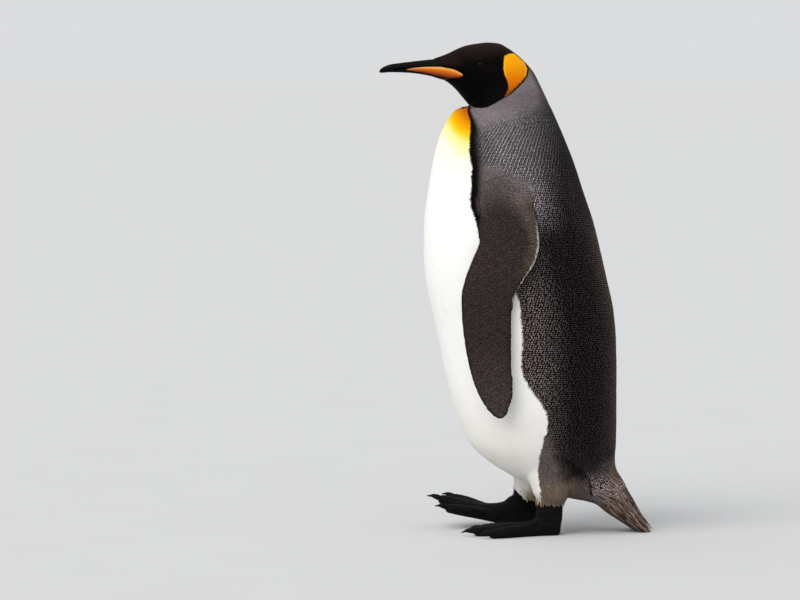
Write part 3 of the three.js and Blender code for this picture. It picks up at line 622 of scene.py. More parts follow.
v = vertex_array(skin_mesh) / MM
for side in (1, -1):
    c = EYE * np.array([side, 1, 1])
    n, fwd, up = eye_frame(side)
    rel = v - c
    a, b, h = rel @ fwd, rel @ up, rel @ n
    rho = np.hypot(a, b)
    near = (rho < 19) & (h > 0) & (v[:, 0] * side > 0)
    bb = np.where(b > 0, b, b * 1.08)
    r = np.sqrt((a / LID[0]) ** 2 + (bb / LID[1]) ** 2)
    ball = np.sqrt(np.maximum((EYE_R + 0.35) ** 2 - rho ** 2, 0.0))
    # lids hug the eyeball, rise to a soft rim and fall away into the face
    rim = np.maximum(h, ball + 0.35 * np.exp(-((r - 1.22) / 0.22) ** 2))
    w_rim = 1 - sstep(1.35, 2.35, r)
    target = h * (1 - w_rim) + rim * w_rim
    target += 0.55 * np.exp(-(((b - 7.6) / 2.2) ** 2 + (a / 7.0) ** 2))          # brow fold
    target -= 0.30 * np.exp(-((r - 2.0) / 0.28) ** 2)                            # crease round the lids
    inside = 1 - sstep(0.86, 1.04, r)
    target = target * (1 - inside) + (ball - 4.5) * inside
    d = np.where(near, target - h, 0.0)
    v = v + d[:, None] * n
# the coloured plate of the bill lies bare, so the face gives way to it
mid = PLATE[:, 1] * 0.5 + PLATE[:, 2] * 0.5
plate_side = np.concatenate([PLATE[:, [0, 1]], PLATE[::-1][:, [0, 2]]]) + np.array([CY, 0])
seat = (v[:, 1] < -80) & (v[:, 2] < 752) & (v[:, 2] > 715)
deep = polygon_distance(v[seat][:, [1, 2]], plate_side)
rise = sstep(730, 741, v[seat][:, 2]) * sstep(-92, -104, v[seat][:, 1])
cut = sstep(-2.0, 0.4, deep) * (3.4 + 2.4 * rise)
vs = v[seat]
vs[:, 0] = np.sign(vs[:, 0]) * np.maximum(np.abs(vs[:, 0]) - cut, 0.5)
v[seat] = vs


def scutes(points, spacing, seed):
    """Distance to the nearest and second nearest of scattered cell centres."""
    r = np.random.default_rng(seed)
    pick = points[r.permutation(len(points))]
    rad = np.full(len(pick), spacing)
    chosen = pick[thin(pick, rad)]
    kd = KDTree(len(chosen))
    for i, c in enumerate(chosen.tolist()):
        kd.insert(c, i)
    kd.balance()
    out = np.empty((len(points), 2))
    for i, c in enumerate(points.tolist()):
        near = kd.find_n(c, 2)
        out[i] = near[0][2], near[1][2]
    return out


# feet: scutes all over, cross grooves on top of the toes, wrinkles at the ankle
nn = np.empty(len(v) * 3, np.float32)
skin_mesh.vertices.foreach_get("normal", nn)
nn = nn.reshape(-1, 3).astype(float)
foot_v = np.where((v[:, 2] < 64) & (v[:, 1] < 84))[0]
pv, pn = v[foot_v], nn[foot_v]
cell = scutes(pv, 3.1, 5)
relief = -0.42 * (1 - sstep(0.0, 0.9, cell[:, 1] - cell[:, 0]))
for side in ("left", "right"):
    sg = 1 if side == "left" else -1
    inv = np.array(feet[side][2].inverted())
    local = pv @ inv[:3, :3].T + inv[:3, 3]
    up_local = pn @ inv[:3, :3].T
    own = pv[:, 0] * sg > 0
    on_top = sstep(0.25, 0.75, up_local[:, 2]) * own
    for name in ("middle", "inner", "outer"):
        rows = np.array(TOES[name], float)
        line = np.column_stack([sg * rows[:, 0], -rows[:, 1]])
        a0, a1 = line[0], line[-1]
        axis = unit(a1 - a0)
        along_toe = (local[:, :2] - a0) @ axis
        off = np.abs((local[:, :2] - a0) @ np.array([-axis[1], axis[0]]))
        on_toe = on_top * sstep(9.5, 6.0, off) * sstep(14, 26, along_toe)
        groove = np.exp(-((np.mod(along_toe + 0.12 * off ** 1.5, 5.6) - 2.8) / 0.75) ** 2)
        relief -= 0.75 * groove * on_toe
    web_zone = on_top * sstep(9.0, 11.5, np.minimum(np.abs(local[:, 0]), 40)) * sstep(-50, -62, local[:, 1])
    relief -= 0.35 * web_zone * (0.5 + 0.5 * np.sin(local[:, 0] * 1.7 + 0.9 * np.sin(local[:, 1] * 0.25)))
    wrinkle = own * sstep(16, 24, pv[:, 2]) * sstep(60, 50, pv[:, 2]) * sstep(-45, -20, local[:, 1])
    relief -= 0.75 * wrinkle * np.exp(-((np.mod(pv[:, 2] + 1.6 * wobble(pv, 26, 31), 6.2) - 3.1) / 0.9) ** 2)
v[foot_v] = pv + pn * relief[:, None]
v[:, 2] = np.maximum(v[:, 2], 0.05)
skin_mesh.vertices.foreach_set("co", (v * MM).astype(np.float32).ravel())
skin_mesh.update()
skin_mesh.polygons.foreach_set("use_smooth", np.ones(len(skin_mesh.polygons), bool))


# ------------------------------------------------------------------ colours
WHITE = (0.905, 0.90, 0.88)
back_y_of_z = lambda z: np.interp(z, BODY[::-1, 1][BODY[::-1, 1].argsort()], BODY[::-1, 0][BODY[::-1, 1].argsort()]) + CY
# the part of neck and back whose feathers have bright tips, partly pale tips and partly painted sheen, in side view;
# behind, it runs past the back line
PALE_TIPS_AND_SHEEN = np.array([
    [-1.1, 668], [-22.3, 664], [-46.3, 657.6], [-62.1, 645.1], [-66.5, 622.4], [-63.6, 602.7], [-50.2, 589.8],
    [-24.8, 579.2], [-6.8, 567.1], [3.4, 553.4], [8.6, 533.4], [12.7, 513.5], [24.9, 491.5], [28.0, 460.2],
    [20.5, 428.9], [0.6, 403.9], [-10.2, 383.4], [-8.4, 331.5], [-6.8, 265.1], [4.9, 239.7], [30.6, 211.1], [44.1, 186.1],
    [50.6, 163.3], [52.7, 142.6], [60.2, 124.5], [84, 108], [104, 84], [120, 40], [300, 40], [300, 690], [60, 690], [40, 678], [21.2, 672]])
# how light the coat is, by height and by distance in from the back line
def tone_at(z, within):
    """Mean lightness of neck and back: silver, a black mantle behind it, a duller line down the spine."""
    # back and flanks: black, lighter towards the front, with a brown line down the spine
    spine = np.interp(z, [152, 300, 430, 480], [0.052, 0.046, 0.064, 0.056]) * (1 - 0.6 * np.exp(-((z - 128) / 14) ** 2))
    back = 0.013 + 0.070 * sstep(70, 140, within) + spine * np.exp(-(np.maximum(within, 0) / 16) ** 1.4)
    # lighter root of the tail, partly frosted tips and partly painted sheen, reaching highest on the back line
    edge = 118 - 0.45 * within
    back = back + (0.098 - back) * sstep(edge + 14, edge - 26, z)
    # neck and shoulder: silver rising from the dark spine, dimmer again next to the black band
    start = np.interp(z, [533, 600, 679], [38, 12, -30])
    full = np.interp(z, [533, 612, 679], [92, 105, 80])
    neck = 0.022 + 0.140 * sstep(start, full, within)
    neck = neck * (1 - 0.50 * sstep(108, 152, within) * sstep(570, 600, z) * sstep(672, 650, z))
    return back + (neck - back) * sstep(468, 535, z)


def body_colours(p, rnd):
    """Root and tip colour of the coat and its smoothness, at points in millimetres."""
    y, z = p[:, 1], p[:, 2]
    side_view = np.stack([y, z], -1)
    n = len(p)
    w1 = wobble(p, 42, 3)
    w2 = wobble(p, 15, 5)
    behind = back_y_of_z(np.clip(z, 100, 780)) - y          # distance in from the back line

    # plumage without bright tips: silver above, black before the shoulder, brown down the spine
    tone = lambda c: np.tile(c, (n, 1))
    mean = tone_at(z, behind) * (1 + 0.07 * w1 + 0.05 * w2) * np.interp(z, [110, 150, 480, 560], [1.0, 0.88, 0.88, 0.97])
    mean = mean * (1 + 0.32 * np.exp(-((y - 140) / 26) ** 2 - ((z - 86) / 20) ** 2))      # lighter root of the tail: partly frosted tips, partly painted sheen
    silver = mix(tone((0.158, 0.135, 0.145)), (0.190, 0.162, 0.175), sstep(690, 722, z + 3 * w1))
    spine = mix(tone((0.060, 0.044, 0.044)), (0.086, 0.066, 0.068), sstep(660, 700, z))
    wide = np.interp(z, [640, 664, 684, 706, 770], [48, 34, 22, 10, 6])
    calm = mix(silver, spine, sstep(1.0, 0.20, behind / wide))
    cool = mix(tone((1.0, 0.76, 0.70)), (1.0, 0.84, 0.87), sstep(420, 600, z))
    calm = mix(mean[:, None] * 1.28 * cool, calm, sstep(668, 690, z + 3 * w1))
    # the shoulder, lighter towards its top, partly the grey of the neck and partly painted sheen, with a tan patch
    # behind
    dome = sstep(600, 575, z + 4 * w1) * sstep(40, 14, y) * sstep(-66, -50, y)
    on = np.interp(z, [505, 520, 534, 550, 566, 590], [0.060, 0.068, 0.078, 0.100, 0.128, 0.150])
    calm = mix(calm, on[:, None] * np.array([1.0, 0.79, 0.80]), dome * sstep(486, 506, z))
    brownish = np.exp(-(((y - 6) / 16) ** 2 + ((z - 546) / 28) ** 2))
    calm = mix(calm, (0.185, 0.136, 0.116), brownish * 0.85)
    calm = mix(calm, (0.020, 0.0135, 0.0105), sstep(500, 470, z) * sstep(60, 30, y))
    # below the shoulder the flank is black right up to the white
    calm = mix(calm, (0.040, 0.029, 0.028), sstep(470, 430, z) * sstep(60, 20, y) * sstep(180, 210, z))
    thigh = sstep(190, 134, z + 4 * w1) * sstep(88, 50, y + 4 * w2)
    calm = mix(calm, (0.119, 0.094, 0.093), thigh)
    calm = mix(calm, (0.165, 0.122, 0.094), sstep(98, 76, z + 4 * w2) * sstep(100, 88, y) * (z < 140))
    calm = mix(calm, (0.030, 0.021, 0.019), thigh * sstep(62, 78, y + 3 * w2) * sstep(96, 104, z))
    contrast = 0.5 * np.maximum(thigh, dome)[:, None]
    base, tip = calm * (0.82 - 0.30 * contrast), calm * (1.22 + 0.50 * contrast)

    # bright tips: partly pale feather tips, partly painted sheen
    inside = polygon_distance(side_view, PALE_TIPS_AND_SHEEN)
    reach = np.interp(z, [150, 200, 480, 560], [12.0, 5.0, 7.0, 14.0])
    tips_and_sheen = sstep(-1, 1, (inside + 3.0 * w2) / reach)
    even = sstep(22, 0, behind)                              # duller and browner at the back line
    cool = mix(tone((1.0, 0.80, 0.80)), (1.0, 0.90, 0.97), sstep(420, 600, z))
    cool = mix(cool, (1.0, 0.66, 0.53), even * sstep(640, 560, z))
    deep = (np.interp(z, [470, 620], [0.17, 0.22]) + 0.25 * even)[:, None]
    root = mean[:, None] * deep * cool
    bright = (mean[:, None] * cool - 0.76 * root) / 0.235
    base = mix(base, root, tips_and_sheen)
    tip = mix(tip, bright, tips_and_sheen)
    flat = 1 - tips_and_sheen

    # tail: brown quills with pale edges
    tail = sstep(106, 86, np.hypot(y - 218, z + 2) + 5 * w1)
    upper_tail = sstep(40, 90, z)[:, None]
    base = mix(base, (0.0060, 0.0042, 0.0036), tail)
    tip = mix(tip, np.array([0.41, 0.292, 0.236]) * (1 - upper_tail) + np.array([0.62, 0.49, 0.46]) * upper_tail, tail)
    flat = flat * (1 - tail)

    # white front, with orange at the throat running out through yellow
    rear = np.interp(z, WHITE_EDGE[::-1, 1], WHITE_EDGE[::-1, 0])
    ragged = np.where(z < 392, 0.9, 0.5)
    front = rear - y + ragged * (rnd - 0.5) * 2.0 + 0.6 * w2
    # the white greys and warms towards the bottom: partly a cream tint, partly painted shade
    white = mix(tone(WHITE), (0.86, 0.835, 0.785), sstep(300, 110, z))
    r = np.hypot((y + 76) / 0.62, z - 686)
    stops = [0, 12, 25, 38, 52, 67, 92, 138]
    tones = np.array([(0.26, 0.045, 0.001), (0.40, 0.085, 0.001), (0.60, 0.175, 0.0005), (0.82, 0.33, 0.0005), (0.94, 0.58, 0.008),
                      (0.95, 0.84, 0.33), (0.93, 0.90, 0.74), WHITE])
    throat = np.stack([np.interp(r + 2.0 * w1, stops, tones[:, k]) for k in range(3)], -1)
    white = mix(white, throat, sstep(530, 560, z))
    soft = sstep(-0.5, 0.5, front) * (z < 700)
    # black line and band behind the white, fading into the neck
    width = np.interp(z, BAND[::-1, 0], BAND[::-1, 1])
    back_of = -front + 1.2 * w2
    band = sstep(2.0, 0.55, back_of / np.maximum(width, 3.0)) * sstep(470, 500, z)
    base = mix(base, (0.0016, 0.0010, 0.0009), band)
    tip = mix(tip, (0.0028, 0.0018, 0.0016), band)
    pale = 0.985 + 0.015 * rnd[:, None]
    base = mix(base, white * 0.98 * pale, soft)
    tip = mix(tip, white * pale, soft)
    flat = np.maximum(flat, soft)
    # soiled hem of the belly over the feet
    hem = sstep(70, 50, z + 3 * w2) * sstep(4, 26, y) * (front > 0)
    base = mix(base, (0.20, 0.155, 0.040), hem * 0.9)
    tip = mix(tip, (0.47, 0.39, 0.17), hem * 0.85)

    # black hood; crown and forehead brown and lighter towards the top, partly their brown tint and partly painted sheen
    up_here = z > 668
    hood = np.full(n, -50.0)
    ear = np.full(n, -50.0)
    hood[up_here] = polygon_distance(side_view[up_here], HOOD)
    ear[up_here] = polygon_distance(side_view[up_here], EAR)
    # painted sheen over a brown tint: lighter towards the crown's top and over the forehead
    crown_tint_and_sheen = np.maximum(sstep(748, 782, z + 2 * w2), 0.75 * sstep(-70, -108, y) * sstep(738, 752, z))
    hc = mix(tone((0.0008, 0.0005, 0.0005)), (0.0130, 0.0066, 0.0060), crown_tint_and_sheen)
    ht = mix(tone((0.0018, 0.0011, 0.0010)), (0.0290, 0.0150, 0.0138), crown_tint_and_sheen)
    brow = np.exp(-(((y + 57) / 12) ** 2 + ((z - 756) / 5.0) ** 2)) + 0.5 * np.exp(-(((y + 40) / 9) ** 2 + ((z - 743) / 8) ** 2))
    ht = mix(ht, (0.015, 0.0080, 0.0068), np.minimum(brow, 1))
    m = sstep(-0.4, 0.4, hood + 0.2 * w2)
    m = np.maximum(m, sstep(30, 26, np.abs(p[:, 0])) * sstep(-88, -86, y) * sstep(672, 674, z) * sstep(-24, -34, y))
    # the hood runs down the nape between the ear patches and thins out into the silver
    nape = sstep(1.6, -1.6, np.abs(p[:, 0]) - np.interp(z, [696, 712, 728, 745, 765], [1, 7, 11, 10, 12]) + 1.2 * w2)
    nape = nape * sstep(694, 716, z + 3 * w1) * (y > 0)
    m = np.maximum(m, nape)
    base = mix(base, hc, m)
    tip = mix(tip, ht, m)
    flat = np.maximum(flat, m)
    # golden ear patch, burnt orange where it narrows
    gold = mix(tone((0.08, 0.020, 0.002)), (0.66, 0.155, 0.0005), sstep(690, 726, z))
    gold = mix(gold, (0.94, 0.40, 0.003), sstep(716, 766, z))
    rim = sstep(3.6, 0.6, ear) * sstep(722, 736, z)
    gold = mix(gold, (0.96, 0.46, 0.010), rim * 0.8)
    m = sstep(-0.4, 0.4, ear + 0.15 * w2) * (1 - nape)
    base = mix(base, gold * 0.97, m)
    tip = mix(tip, gold, m)
    return base, tip, flat


def in_parts(fn, p, *rest, size=60000):
    """Run a colour function over many points a block at a time."""
    out = [fn(p[i:i + size], *(q[i:i + size] for q in rest)) for i in range(0, len(p), size)]
    return tuple(np.concatenate(q) for q in zip(*out))


def wing_colours(p, rnd, inner):
    """Flipper: dark outside, white inside with a dark leading edge and tip."""
    y, z = p[:, 1], p[:, 2]
    n = len(p)
    w1 = wobble(p, 30, 13)
    w2 = wobble(p, 11, 17)
    base = mix(np.tile((0.0170, 0.0124, 0.0122), (n, 1)), (0.0250, 0.0194, 0.0182), sstep(330, 230, z))
    tip = mix(np.tile((0.072, 0.052, 0.051), (n, 1)), (0.100, 0.078, 0.072), sstep(330, 230, z))
    base = base * (1 + 0.14 * w2)[:, None]
    tip = tip * (1 + 0.18 * w2)[:, None]
    body_b, body_t, _ = body_colours(np.stack([p[:, 0], np.clip(y, -60, 14), np.maximum(z, 500.0)], -1), np.full(n, 0.5))
    up = sstep(-34, 5, z - np.interp(y, ARCH[:, 0] + CY, ARCH[:, 1]) + 3 * w1 + 2 * w2)
    base = mix(base, body_b, up)
    tip = mix(tip, body_t, up)
    # tan down along the upper trailing edge, and a thin pale line on it
    trail = np.interp(z, (FLIPPER[:, 3] + SHOULDER_LIFT)[::-1], FLIPPER[::-1, 2]) + CY
    near = trail - y
    tan = sstep(24, 4, near) * sstep(405, 440, z) * sstep(556, 520, z)
    base = mix(base, (0.046, 0.031, 0.022), tan * 0.8)
    tip = mix(tip, (0.190, 0.137, 0.100), tan * 0.8)
    line = sstep(2.6, 1.2, near) * sstep(366, 384, z) * sstep(512, 470, z)
    base = mix(base, (0.48, 0.43, 0.39), line)
    tip = mix(tip, (0.76, 0.70, 0.64), line)
    lead = np.interp(z, (FLIPPER[:, 1] + SHOULDER_LIFT)[::-1], FLIPPER[::-1, 0]) + CY
    rim = sstep(7, 11, y - lead + 2 * w1) * sstep(200, 226, z + 6 * w1) * sstep(3, 6, near)
    white = inner * rim
    base = mix(base, (0.80, 0.79, 0.76), white)
    tip = mix(tip, (0.88, 0.87, 0.84), white)
    return base, tip


# ---------------------------------------------------------------- materials
def nodes_of(name):
    m = bpy.data.materials.new(name)
    m.use_nodes = True
    nt = m.node_tree
    bsdf = nt.nodes["Principled BSDF"]
    return m, nt, bsdf


def node(nt, kind, **inputs):
    n = nt.nodes.new(kind)
    for k, v in inputs.items():
        if k in ("operation", "data_type", "blend_type", "feature", "attribute_name", "noise_dimensions", "clamp_result",
                 "wave_type", "bands_direction", "use_clamp", "interpolation_type", "distance"):
            setattr(n, k, v)
        else:
            n.inputs[k].default_value = v
    return n


def attr(nt, name):
    n = nt.nodes.new("ShaderNodeAttribute")
    n.attribute_type = "GEOMETRY"
    n.attribute_name = name
    return n


def math_node(nt, op, a, b=None, c=None, clamp=False):
    n = nt.nodes.new("ShaderNodeMath")
    n.operation = op
    n.use_clamp = clamp
    for i, v in enumerate((a, b, c)):
        if v is None:
            continue
        if hasattr(v, "links") or hasattr(v, "is_linked"):
            nt.links.new(v, n.inputs[i])
        else:
            n.inputs[i].default_value = v
    return n.outputs[0]


def mix_colour(nt, f, a, b, blend="MIX"):
    n = nt.nodes.new("ShaderNodeMix")
    n.data_type = "RGBA"
    n.blend_type = blend
    n.clamp_result = False
    for socket, v in ((n.inputs[0], f), (n.inputs[6], a), (n.inputs[7], b)):
        if hasattr(v, "is_linked"):
            nt.links.new(v, socket)
        elif isinstance(v, (int, float)):
            socket.default_value = v
        else:
            socket.default_value = (*v, 1.0)
    return n.outputs[2]


def noise_node(nt, vector, scale, detail=3.0, rough=0.55):
    n = nt.nodes.new("ShaderNodeTexNoise")
    n.inputs["Scale"].default_value = scale
    n.inputs["Detail"].default_value = detail
    n.inputs["Roughness"].default_value = rough
    nt.links.new(vector, n.inputs["Vector"])
    return n.outputs[0]


def bump_node(nt, height, strength, distance, normal=None):
    n = nt.nodes.new("ShaderNodeBump")
    n.inputs["Strength"].default_value = strength
    n.inputs["Distance"].default_value = distance
    nt.links.new(height, n.inputs["Height"])
    if normal is not None:
        nt.links.new(normal, n.inputs["Normal"])
    return n.outputs[0]


def object_vector(nt, scale=(1, 1, 1)):
    tc = nt.nodes.new("ShaderNodeTexCoord")
    mp = nt.nodes.new("ShaderNodeMapping")
    mp.inputs["Scale"].default_value = scale
    nt.links.new(tc.outputs["Object"], mp.inputs["Vector"])
    return mp.outputs[0]


def plumage_material(name, coat):
    m, nt, bsdf = nodes_of(name)
    a, b = attr(nt, "base_tone").outputs["Color"], attr(nt, "tip_tone").outputs["Color"]
    vec = object_vector(nt)
    fine = noise_node(nt, vec, 900.0, 2.0)
    broad = noise_node(nt, vec, 38.0, 3.0)
    if coat:
        along = attr(nt, "along").outputs["Fac"]
        across = attr(nt, "across").outputs["Fac"]
        streak = attr(nt, "streak").outputs["Fac"]
        rnd = attr(nt, "rnd").outputs["Fac"]
        edge = math_node(nt, "ABSOLUTE", across)
        # the pale mark on a scale-like feather, partly its pale tip and partly painted sheen, leans down and forward
        lean = math_node(nt, "MULTIPLY", math_node(nt, "SUBTRACT", along, 0.62), 0.55)
        off = math_node(nt, "ABSOLUTE", math_node(nt, "SUBTRACT", across, lean))
        # scale-like feathers are pale on the tip (partly painted sheen), long tail quills on the shaft
        t = math_node(nt, "ADD", along, math_node(nt, "MULTIPLY", math_node(nt, "SUBTRACT", fine, 0.5), 0.45))
        tip = nt.nodes.new("ShaderNodeMapRange")
        tip.interpolation_type = "SMOOTHSTEP"
        tip.inputs["From Min"].default_value = 0.26
        tip.inputs["From Max"].default_value = 0.70
        nt.links.new(t, tip.inputs["Value"])
        centre = nt.nodes.new("ShaderNodeMapRange")
        centre.interpolation_type = "SMOOTHSTEP"
        centre.inputs["From Min"].default_value = 0.64
        centre.inputs["From Max"].default_value = 0.16
        nt.links.new(off, centre.inputs["Value"])
        scale_mask = math_node(nt, "MULTIPLY", tip.outputs[0], centre.outputs[0])
        shaft = nt.nodes.new("ShaderNodeMapRange")
        shaft.interpolation_type = "SMOOTHSTEP"
        shaft.inputs["From Min"].default_value = 0.36
        shaft.inputs["From Max"].default_value = 0.14
        nt.links.new(edge, shaft.inputs["Value"])
        shaft_mask = math_node(nt, "MULTIPLY", shaft.outputs[0], math_node(nt, "ADD", math_node(nt, "MULTIPLY", rnd, 0.5), 0.5))
        mask = math_node(nt, "ADD", math_node(nt, "MULTIPLY", scale_mask, math_node(nt, "SUBTRACT", 1.0, streak)),
                         math_node(nt, "MULTIPLY", shaft_mask, streak), clamp=True)
        col = mix_colour(nt, mask, a, b)
    else:
        col = mix_colour(nt, math_node(nt, "MULTIPLY", fine, 0.8), a, b)
        mask = fine
    shade = math_node(nt, "ADD", math_node(nt, "MULTIPLY", broad, 0.20), 0.90)
    col = mix_colour(nt, 1.0, col, mix_colour(nt, shade, (0, 0, 0), (1, 1, 1)), "MULTIPLY")
    nt.links.new(col, bsdf.inputs["Base Color"])
    rough = math_node(nt, "ADD", math_node(nt, "MULTIPLY", fine, 0.2), 0.50)
    nt.links.new(rough, bsdf.inputs["Roughness"])
    bsdf.inputs["Specular IOR Level"].default_value = 0.025
    # barbs: fine streaks that follow the vane
    stretched = noise_node(nt, object_vector(nt, (1.0, 1.0, 0.25)), 1500.0, 2.0)
    nt.links.new(bump_node(nt, stretched, 0.35, 0.0004), bsdf.inputs["Normal"])
    return m


def foot_material():
    m, nt, bsdf = nodes_of("foot_skin_black")
    vec = object_vector(nt)
    v1 = nt.nodes.new("ShaderNodeTexVoronoi")
    v1.feature = "DISTANCE_TO_EDGE"
    v1.inputs["Scale"].default_value = 330.0
    nt.links.new(vec, v1.inputs["Vector"])
    groove = nt.nodes.new("ShaderNodeMapRange")
    groove.inputs["From Max"].default_value = 0.16
    nt.links.new(v1.outputs["Distance"], groove.inputs["Value"])
    n1 = noise_node(nt, vec, 60.0, 4.0)
    n2 = noise_node(nt, object_vector(nt, (1, 1, 3.2)), 130.0, 4.0, 0.65)
    # scattered lighter patches on the black skin: partly dust, partly painted sheen
    dust_and_sheen = math_node(nt, "MULTIPLY", math_node(nt, "SUBTRACT", n1, 0.42, clamp=True), 2.2, clamp=True)
    c = mix_colour(nt, groove.outputs[0], (0.0008, 0.0006, 0.0006), (0.0030, 0.0024, 0.0023))
    c = mix_colour(nt, dust_and_sheen, c, (0.0085, 0.0070, 0.0062))
    nt.links.new(c, bsdf.inputs["Base Color"])
    r = math_node(nt, "ADD", math_node(nt, "MULTIPLY", n1, 0.3), 0.36)
    nt.links.new(r, bsdf.inputs["Roughness"])
    bsdf.inputs["Specular IOR Level"].default_value = 0.08
    b1 = bump_node(nt, n2, 0.7, 0.0022)
    nt.links.new(bump_node(nt, groove.outputs[0], 0.6, 0.0007, b1), bsdf.inputs["Normal"])
    return m


def horn_material(name, dark, light, rough, streak=(1, 0.06, 1)):
    m, nt, bsdf = nodes_of(name)
    vec = object_vector(nt, streak)
    n1 = noise_node(nt, vec, 420.0, 4.0, 0.6)
    n2 = noise_node(nt, object_vector(nt), 90.0, 3.0)
    f = math_node(nt, "MULTIPLY", math_node(nt, "ADD", n1, n2), 0.5)
    nt.links.new(mix_colour(nt, f, dark, light), bsdf.inputs["Base Color"])
    nt.links.new(math_node(nt, "ADD", math_node(nt, "MULTIPLY", n2, 0.22), rough - 0.1), bsdf.inputs["Roughness"])
    nt.links.new(bump_node(nt, n1, 0.20, 0.0004), bsdf.inputs["Normal"])
    bsdf.inputs["Specular IOR Level"].default_value = 0.05
    return m


def plate_material():
    m, nt, bsdf = nodes_of("bill_plate_orange")
    up = attr(nt, "up").outputs["Fac"]
    lng = attr(nt, "long").outputs["Fac"]
    vec = object_vector(nt, (1, 0.12, 1))
    n1 = noise_node(nt, vec, 380.0, 4.0, 0.6)
    # deep orange at the lower edge to pale peach at the top: partly the plate's own colour, partly painted shade below
    # and a painted highlight along the top edge
    ramp = nt.nodes.new("ShaderNodeValToRGB")
    e = ramp.color_ramp.elements
    e[0].position, e[0].color = 0.0, (0.13, 0.018, 0.001, 1)
    e[1].position, e[1].color = 1.0, (0.78, 0.45, 0.15, 1)
    for pos, c in ((0.16, (0.26, 0.040, 0.001)), (0.42, (0.44, 0.088, 0.002)), (0.66, (0.58, 0.145, 0.002)), (0.84, (0.72, 0.30, 0.040))):
        q = ramp.color_ramp.elements.new(pos)
        q.color = (*c, 1)
    h = math_node(nt, "ADD", up, math_node(nt, "MULTIPLY", math_node(nt, "SUBTRACT", n1, 0.5), 0.16))
    nt.links.new(h, ramp.inputs[0])
    front = nt.nodes.new("ShaderNodeMapRange")
    front.inputs["From Min"].default_value = 0.22
    front.inputs["From Max"].default_value = 0.0
    nt.links.new(lng, front.inputs["Value"])
    c = mix_colour(nt, math_node(nt, "MULTIPLY", front.outputs[0], 0.75), ramp.outputs[0], (0.30, 0.14, 0.075))
    nt.links.new(c, bsdf.inputs["Base Color"])
    nt.links.new(math_node(nt, "ADD", math_node(nt, "MULTIPLY", n1, 0.2), 0.36), bsdf.inputs["Roughness"])
    bsdf.inputs["Specular IOR Level"].default_value = 0.12
    nt.links.new(bump_node(nt, n1, 0.3, 0.0004), bsdf.inputs["Normal"])
    return m


def eye_material():
    m, nt, bsdf = nodes_of("eye_dark")
    r = attr(nt, "ring").outputs["Fac"]
    ramp = nt.nodes.new("ShaderNodeValToRGB")
    e = ramp.color_ramp.elements
    e[0].position, e[0].color = 0.0, (0.0008, 0.0006, 0.0006, 1)
    e[1].position, e[1].color = 1.0, (0.003, 0.002, 0.002, 1)
    for pos, c in ((0.38, (0.0008, 0.0006, 0.0006)), (0.43, (0.0070, 0.0030, 0.0018)), (0.62, (0.0110, 0.0048, 0.0026)),
                   (0.70, (0.004, 0.0025, 0.0020))):
        q = ramp.color_ramp.elements.new(pos)
        q.color = (*c, 1)
    n1 = noise_node(nt, object_vector(nt), 900.0, 3.0)
    nt.links.new(math_node(nt, "ADD", r, math_node(nt, "MULTIPLY", math_node(nt, "SUBTRACT", n1, 0.5), 0.05)), ramp.inputs[0])
    nt.links.new(ramp.outputs[0], bsdf.inputs["Base Color"])
    nt.links.new(math_node(nt, "ADD", math_node(nt, "MULTIPLY", n1, 0.03), 0.16), bsdf.inputs["Roughness"])
    nt.links.new(bump_node(nt, n1, 0.05, 0.0002), bsdf.inputs["Normal"])
    bsdf.inputs["Specular IOR Level"].default_value = 0.07
    return m


MAT_SKIN = plumage_material("plumage_skin", False)
MAT_COAT = plumage_material("plumage_coat", True)
MAT_FOOT = foot_material()
MAT_BILL = horn_material("bill_horn_black", (0.0012, 0.0008, 0.0008), (0.0048, 0.0030, 0.0026), 0.46)
MAT_CLAW = horn_material("claw_horn_black", (0.0030, 0.0024, 0.0022), (0.012, 0.0095, 0.0085), 0.44)
MAT_PLATE = plate_material()
MAT_EYE = eye_material()

# ------------------------------------------------- skin colours and materials
v = vertex_array(skin_mesh)
part = np.empty(len(v), int)
for i, co in enumerate(v.tolist()):
    hit = raw_tree.find_nearest(co)
    part[i] = part_of_face[hit[2]]
vmm = v / MM
half = np.full(len(v), 0.5)
base, tip, _ = in_parts(body_colours, vmm, half)
sel = part == 1
inner = np.zeros(sel.sum())
skin_normals = np.empty(len(v) * 3, np.float32)
skin_mesh.vertices.foreach_get("normal", skin_normals)
skin_normals = skin_normals.reshape(-1, 3).astype(float)
inner = (skin_normals[sel, 0] * np.sign(vmm[sel, 0]) < -0.15).astype(float)
wb, wt = wing_colours(vmm[sel], half[sel], inner)
base[sel], tip[sel] = wb, wt
# bare lids round the eyes
for side in (1, -1):
    n, fwd, up = eye_frame(side)
    rel = vmm - EYE * np.array([side, 1, 1])
    r = np.sqrt((rel @ fwd / LID[0]) ** 2 + (rel @ up / LID[1]) ** 2)
    lid = (1 - sstep(1.25, 1.6, r)) * (np.linalg.norm(rel, axis=1) < 16) * (vmm[:, 0] * side > 0)
    base = mix(base, (0.0032, 0.0021, 0.0019), lid)
    tip = mix(tip, (0.0070, 0.0045, 0.0040), lid)
set_attribute(skin_mesh, "base_tone", "FLOAT_COLOR", base)
set_attribute(skin_mesh, "tip_tone", "FLOAT_COLOR", tip)
skin_mesh.materials.clear()
skin_mesh.materials.append(MAT_SKIN)
skin_mesh.materials.append(MAT_FOOT)
loops = np.empty(len(skin_mesh.loops), np.int64)
skin_mesh.loops.foreach_get("vertex_index", loops)
starts = np.empty(len(skin_mesh.polygons), np.int64)
skin_mesh.polygons.foreach_get("loop_start", starts)
skin_mesh.polygons.foreach_set("material_index", (part[loops[starts]] == 3).astype(np.int32))

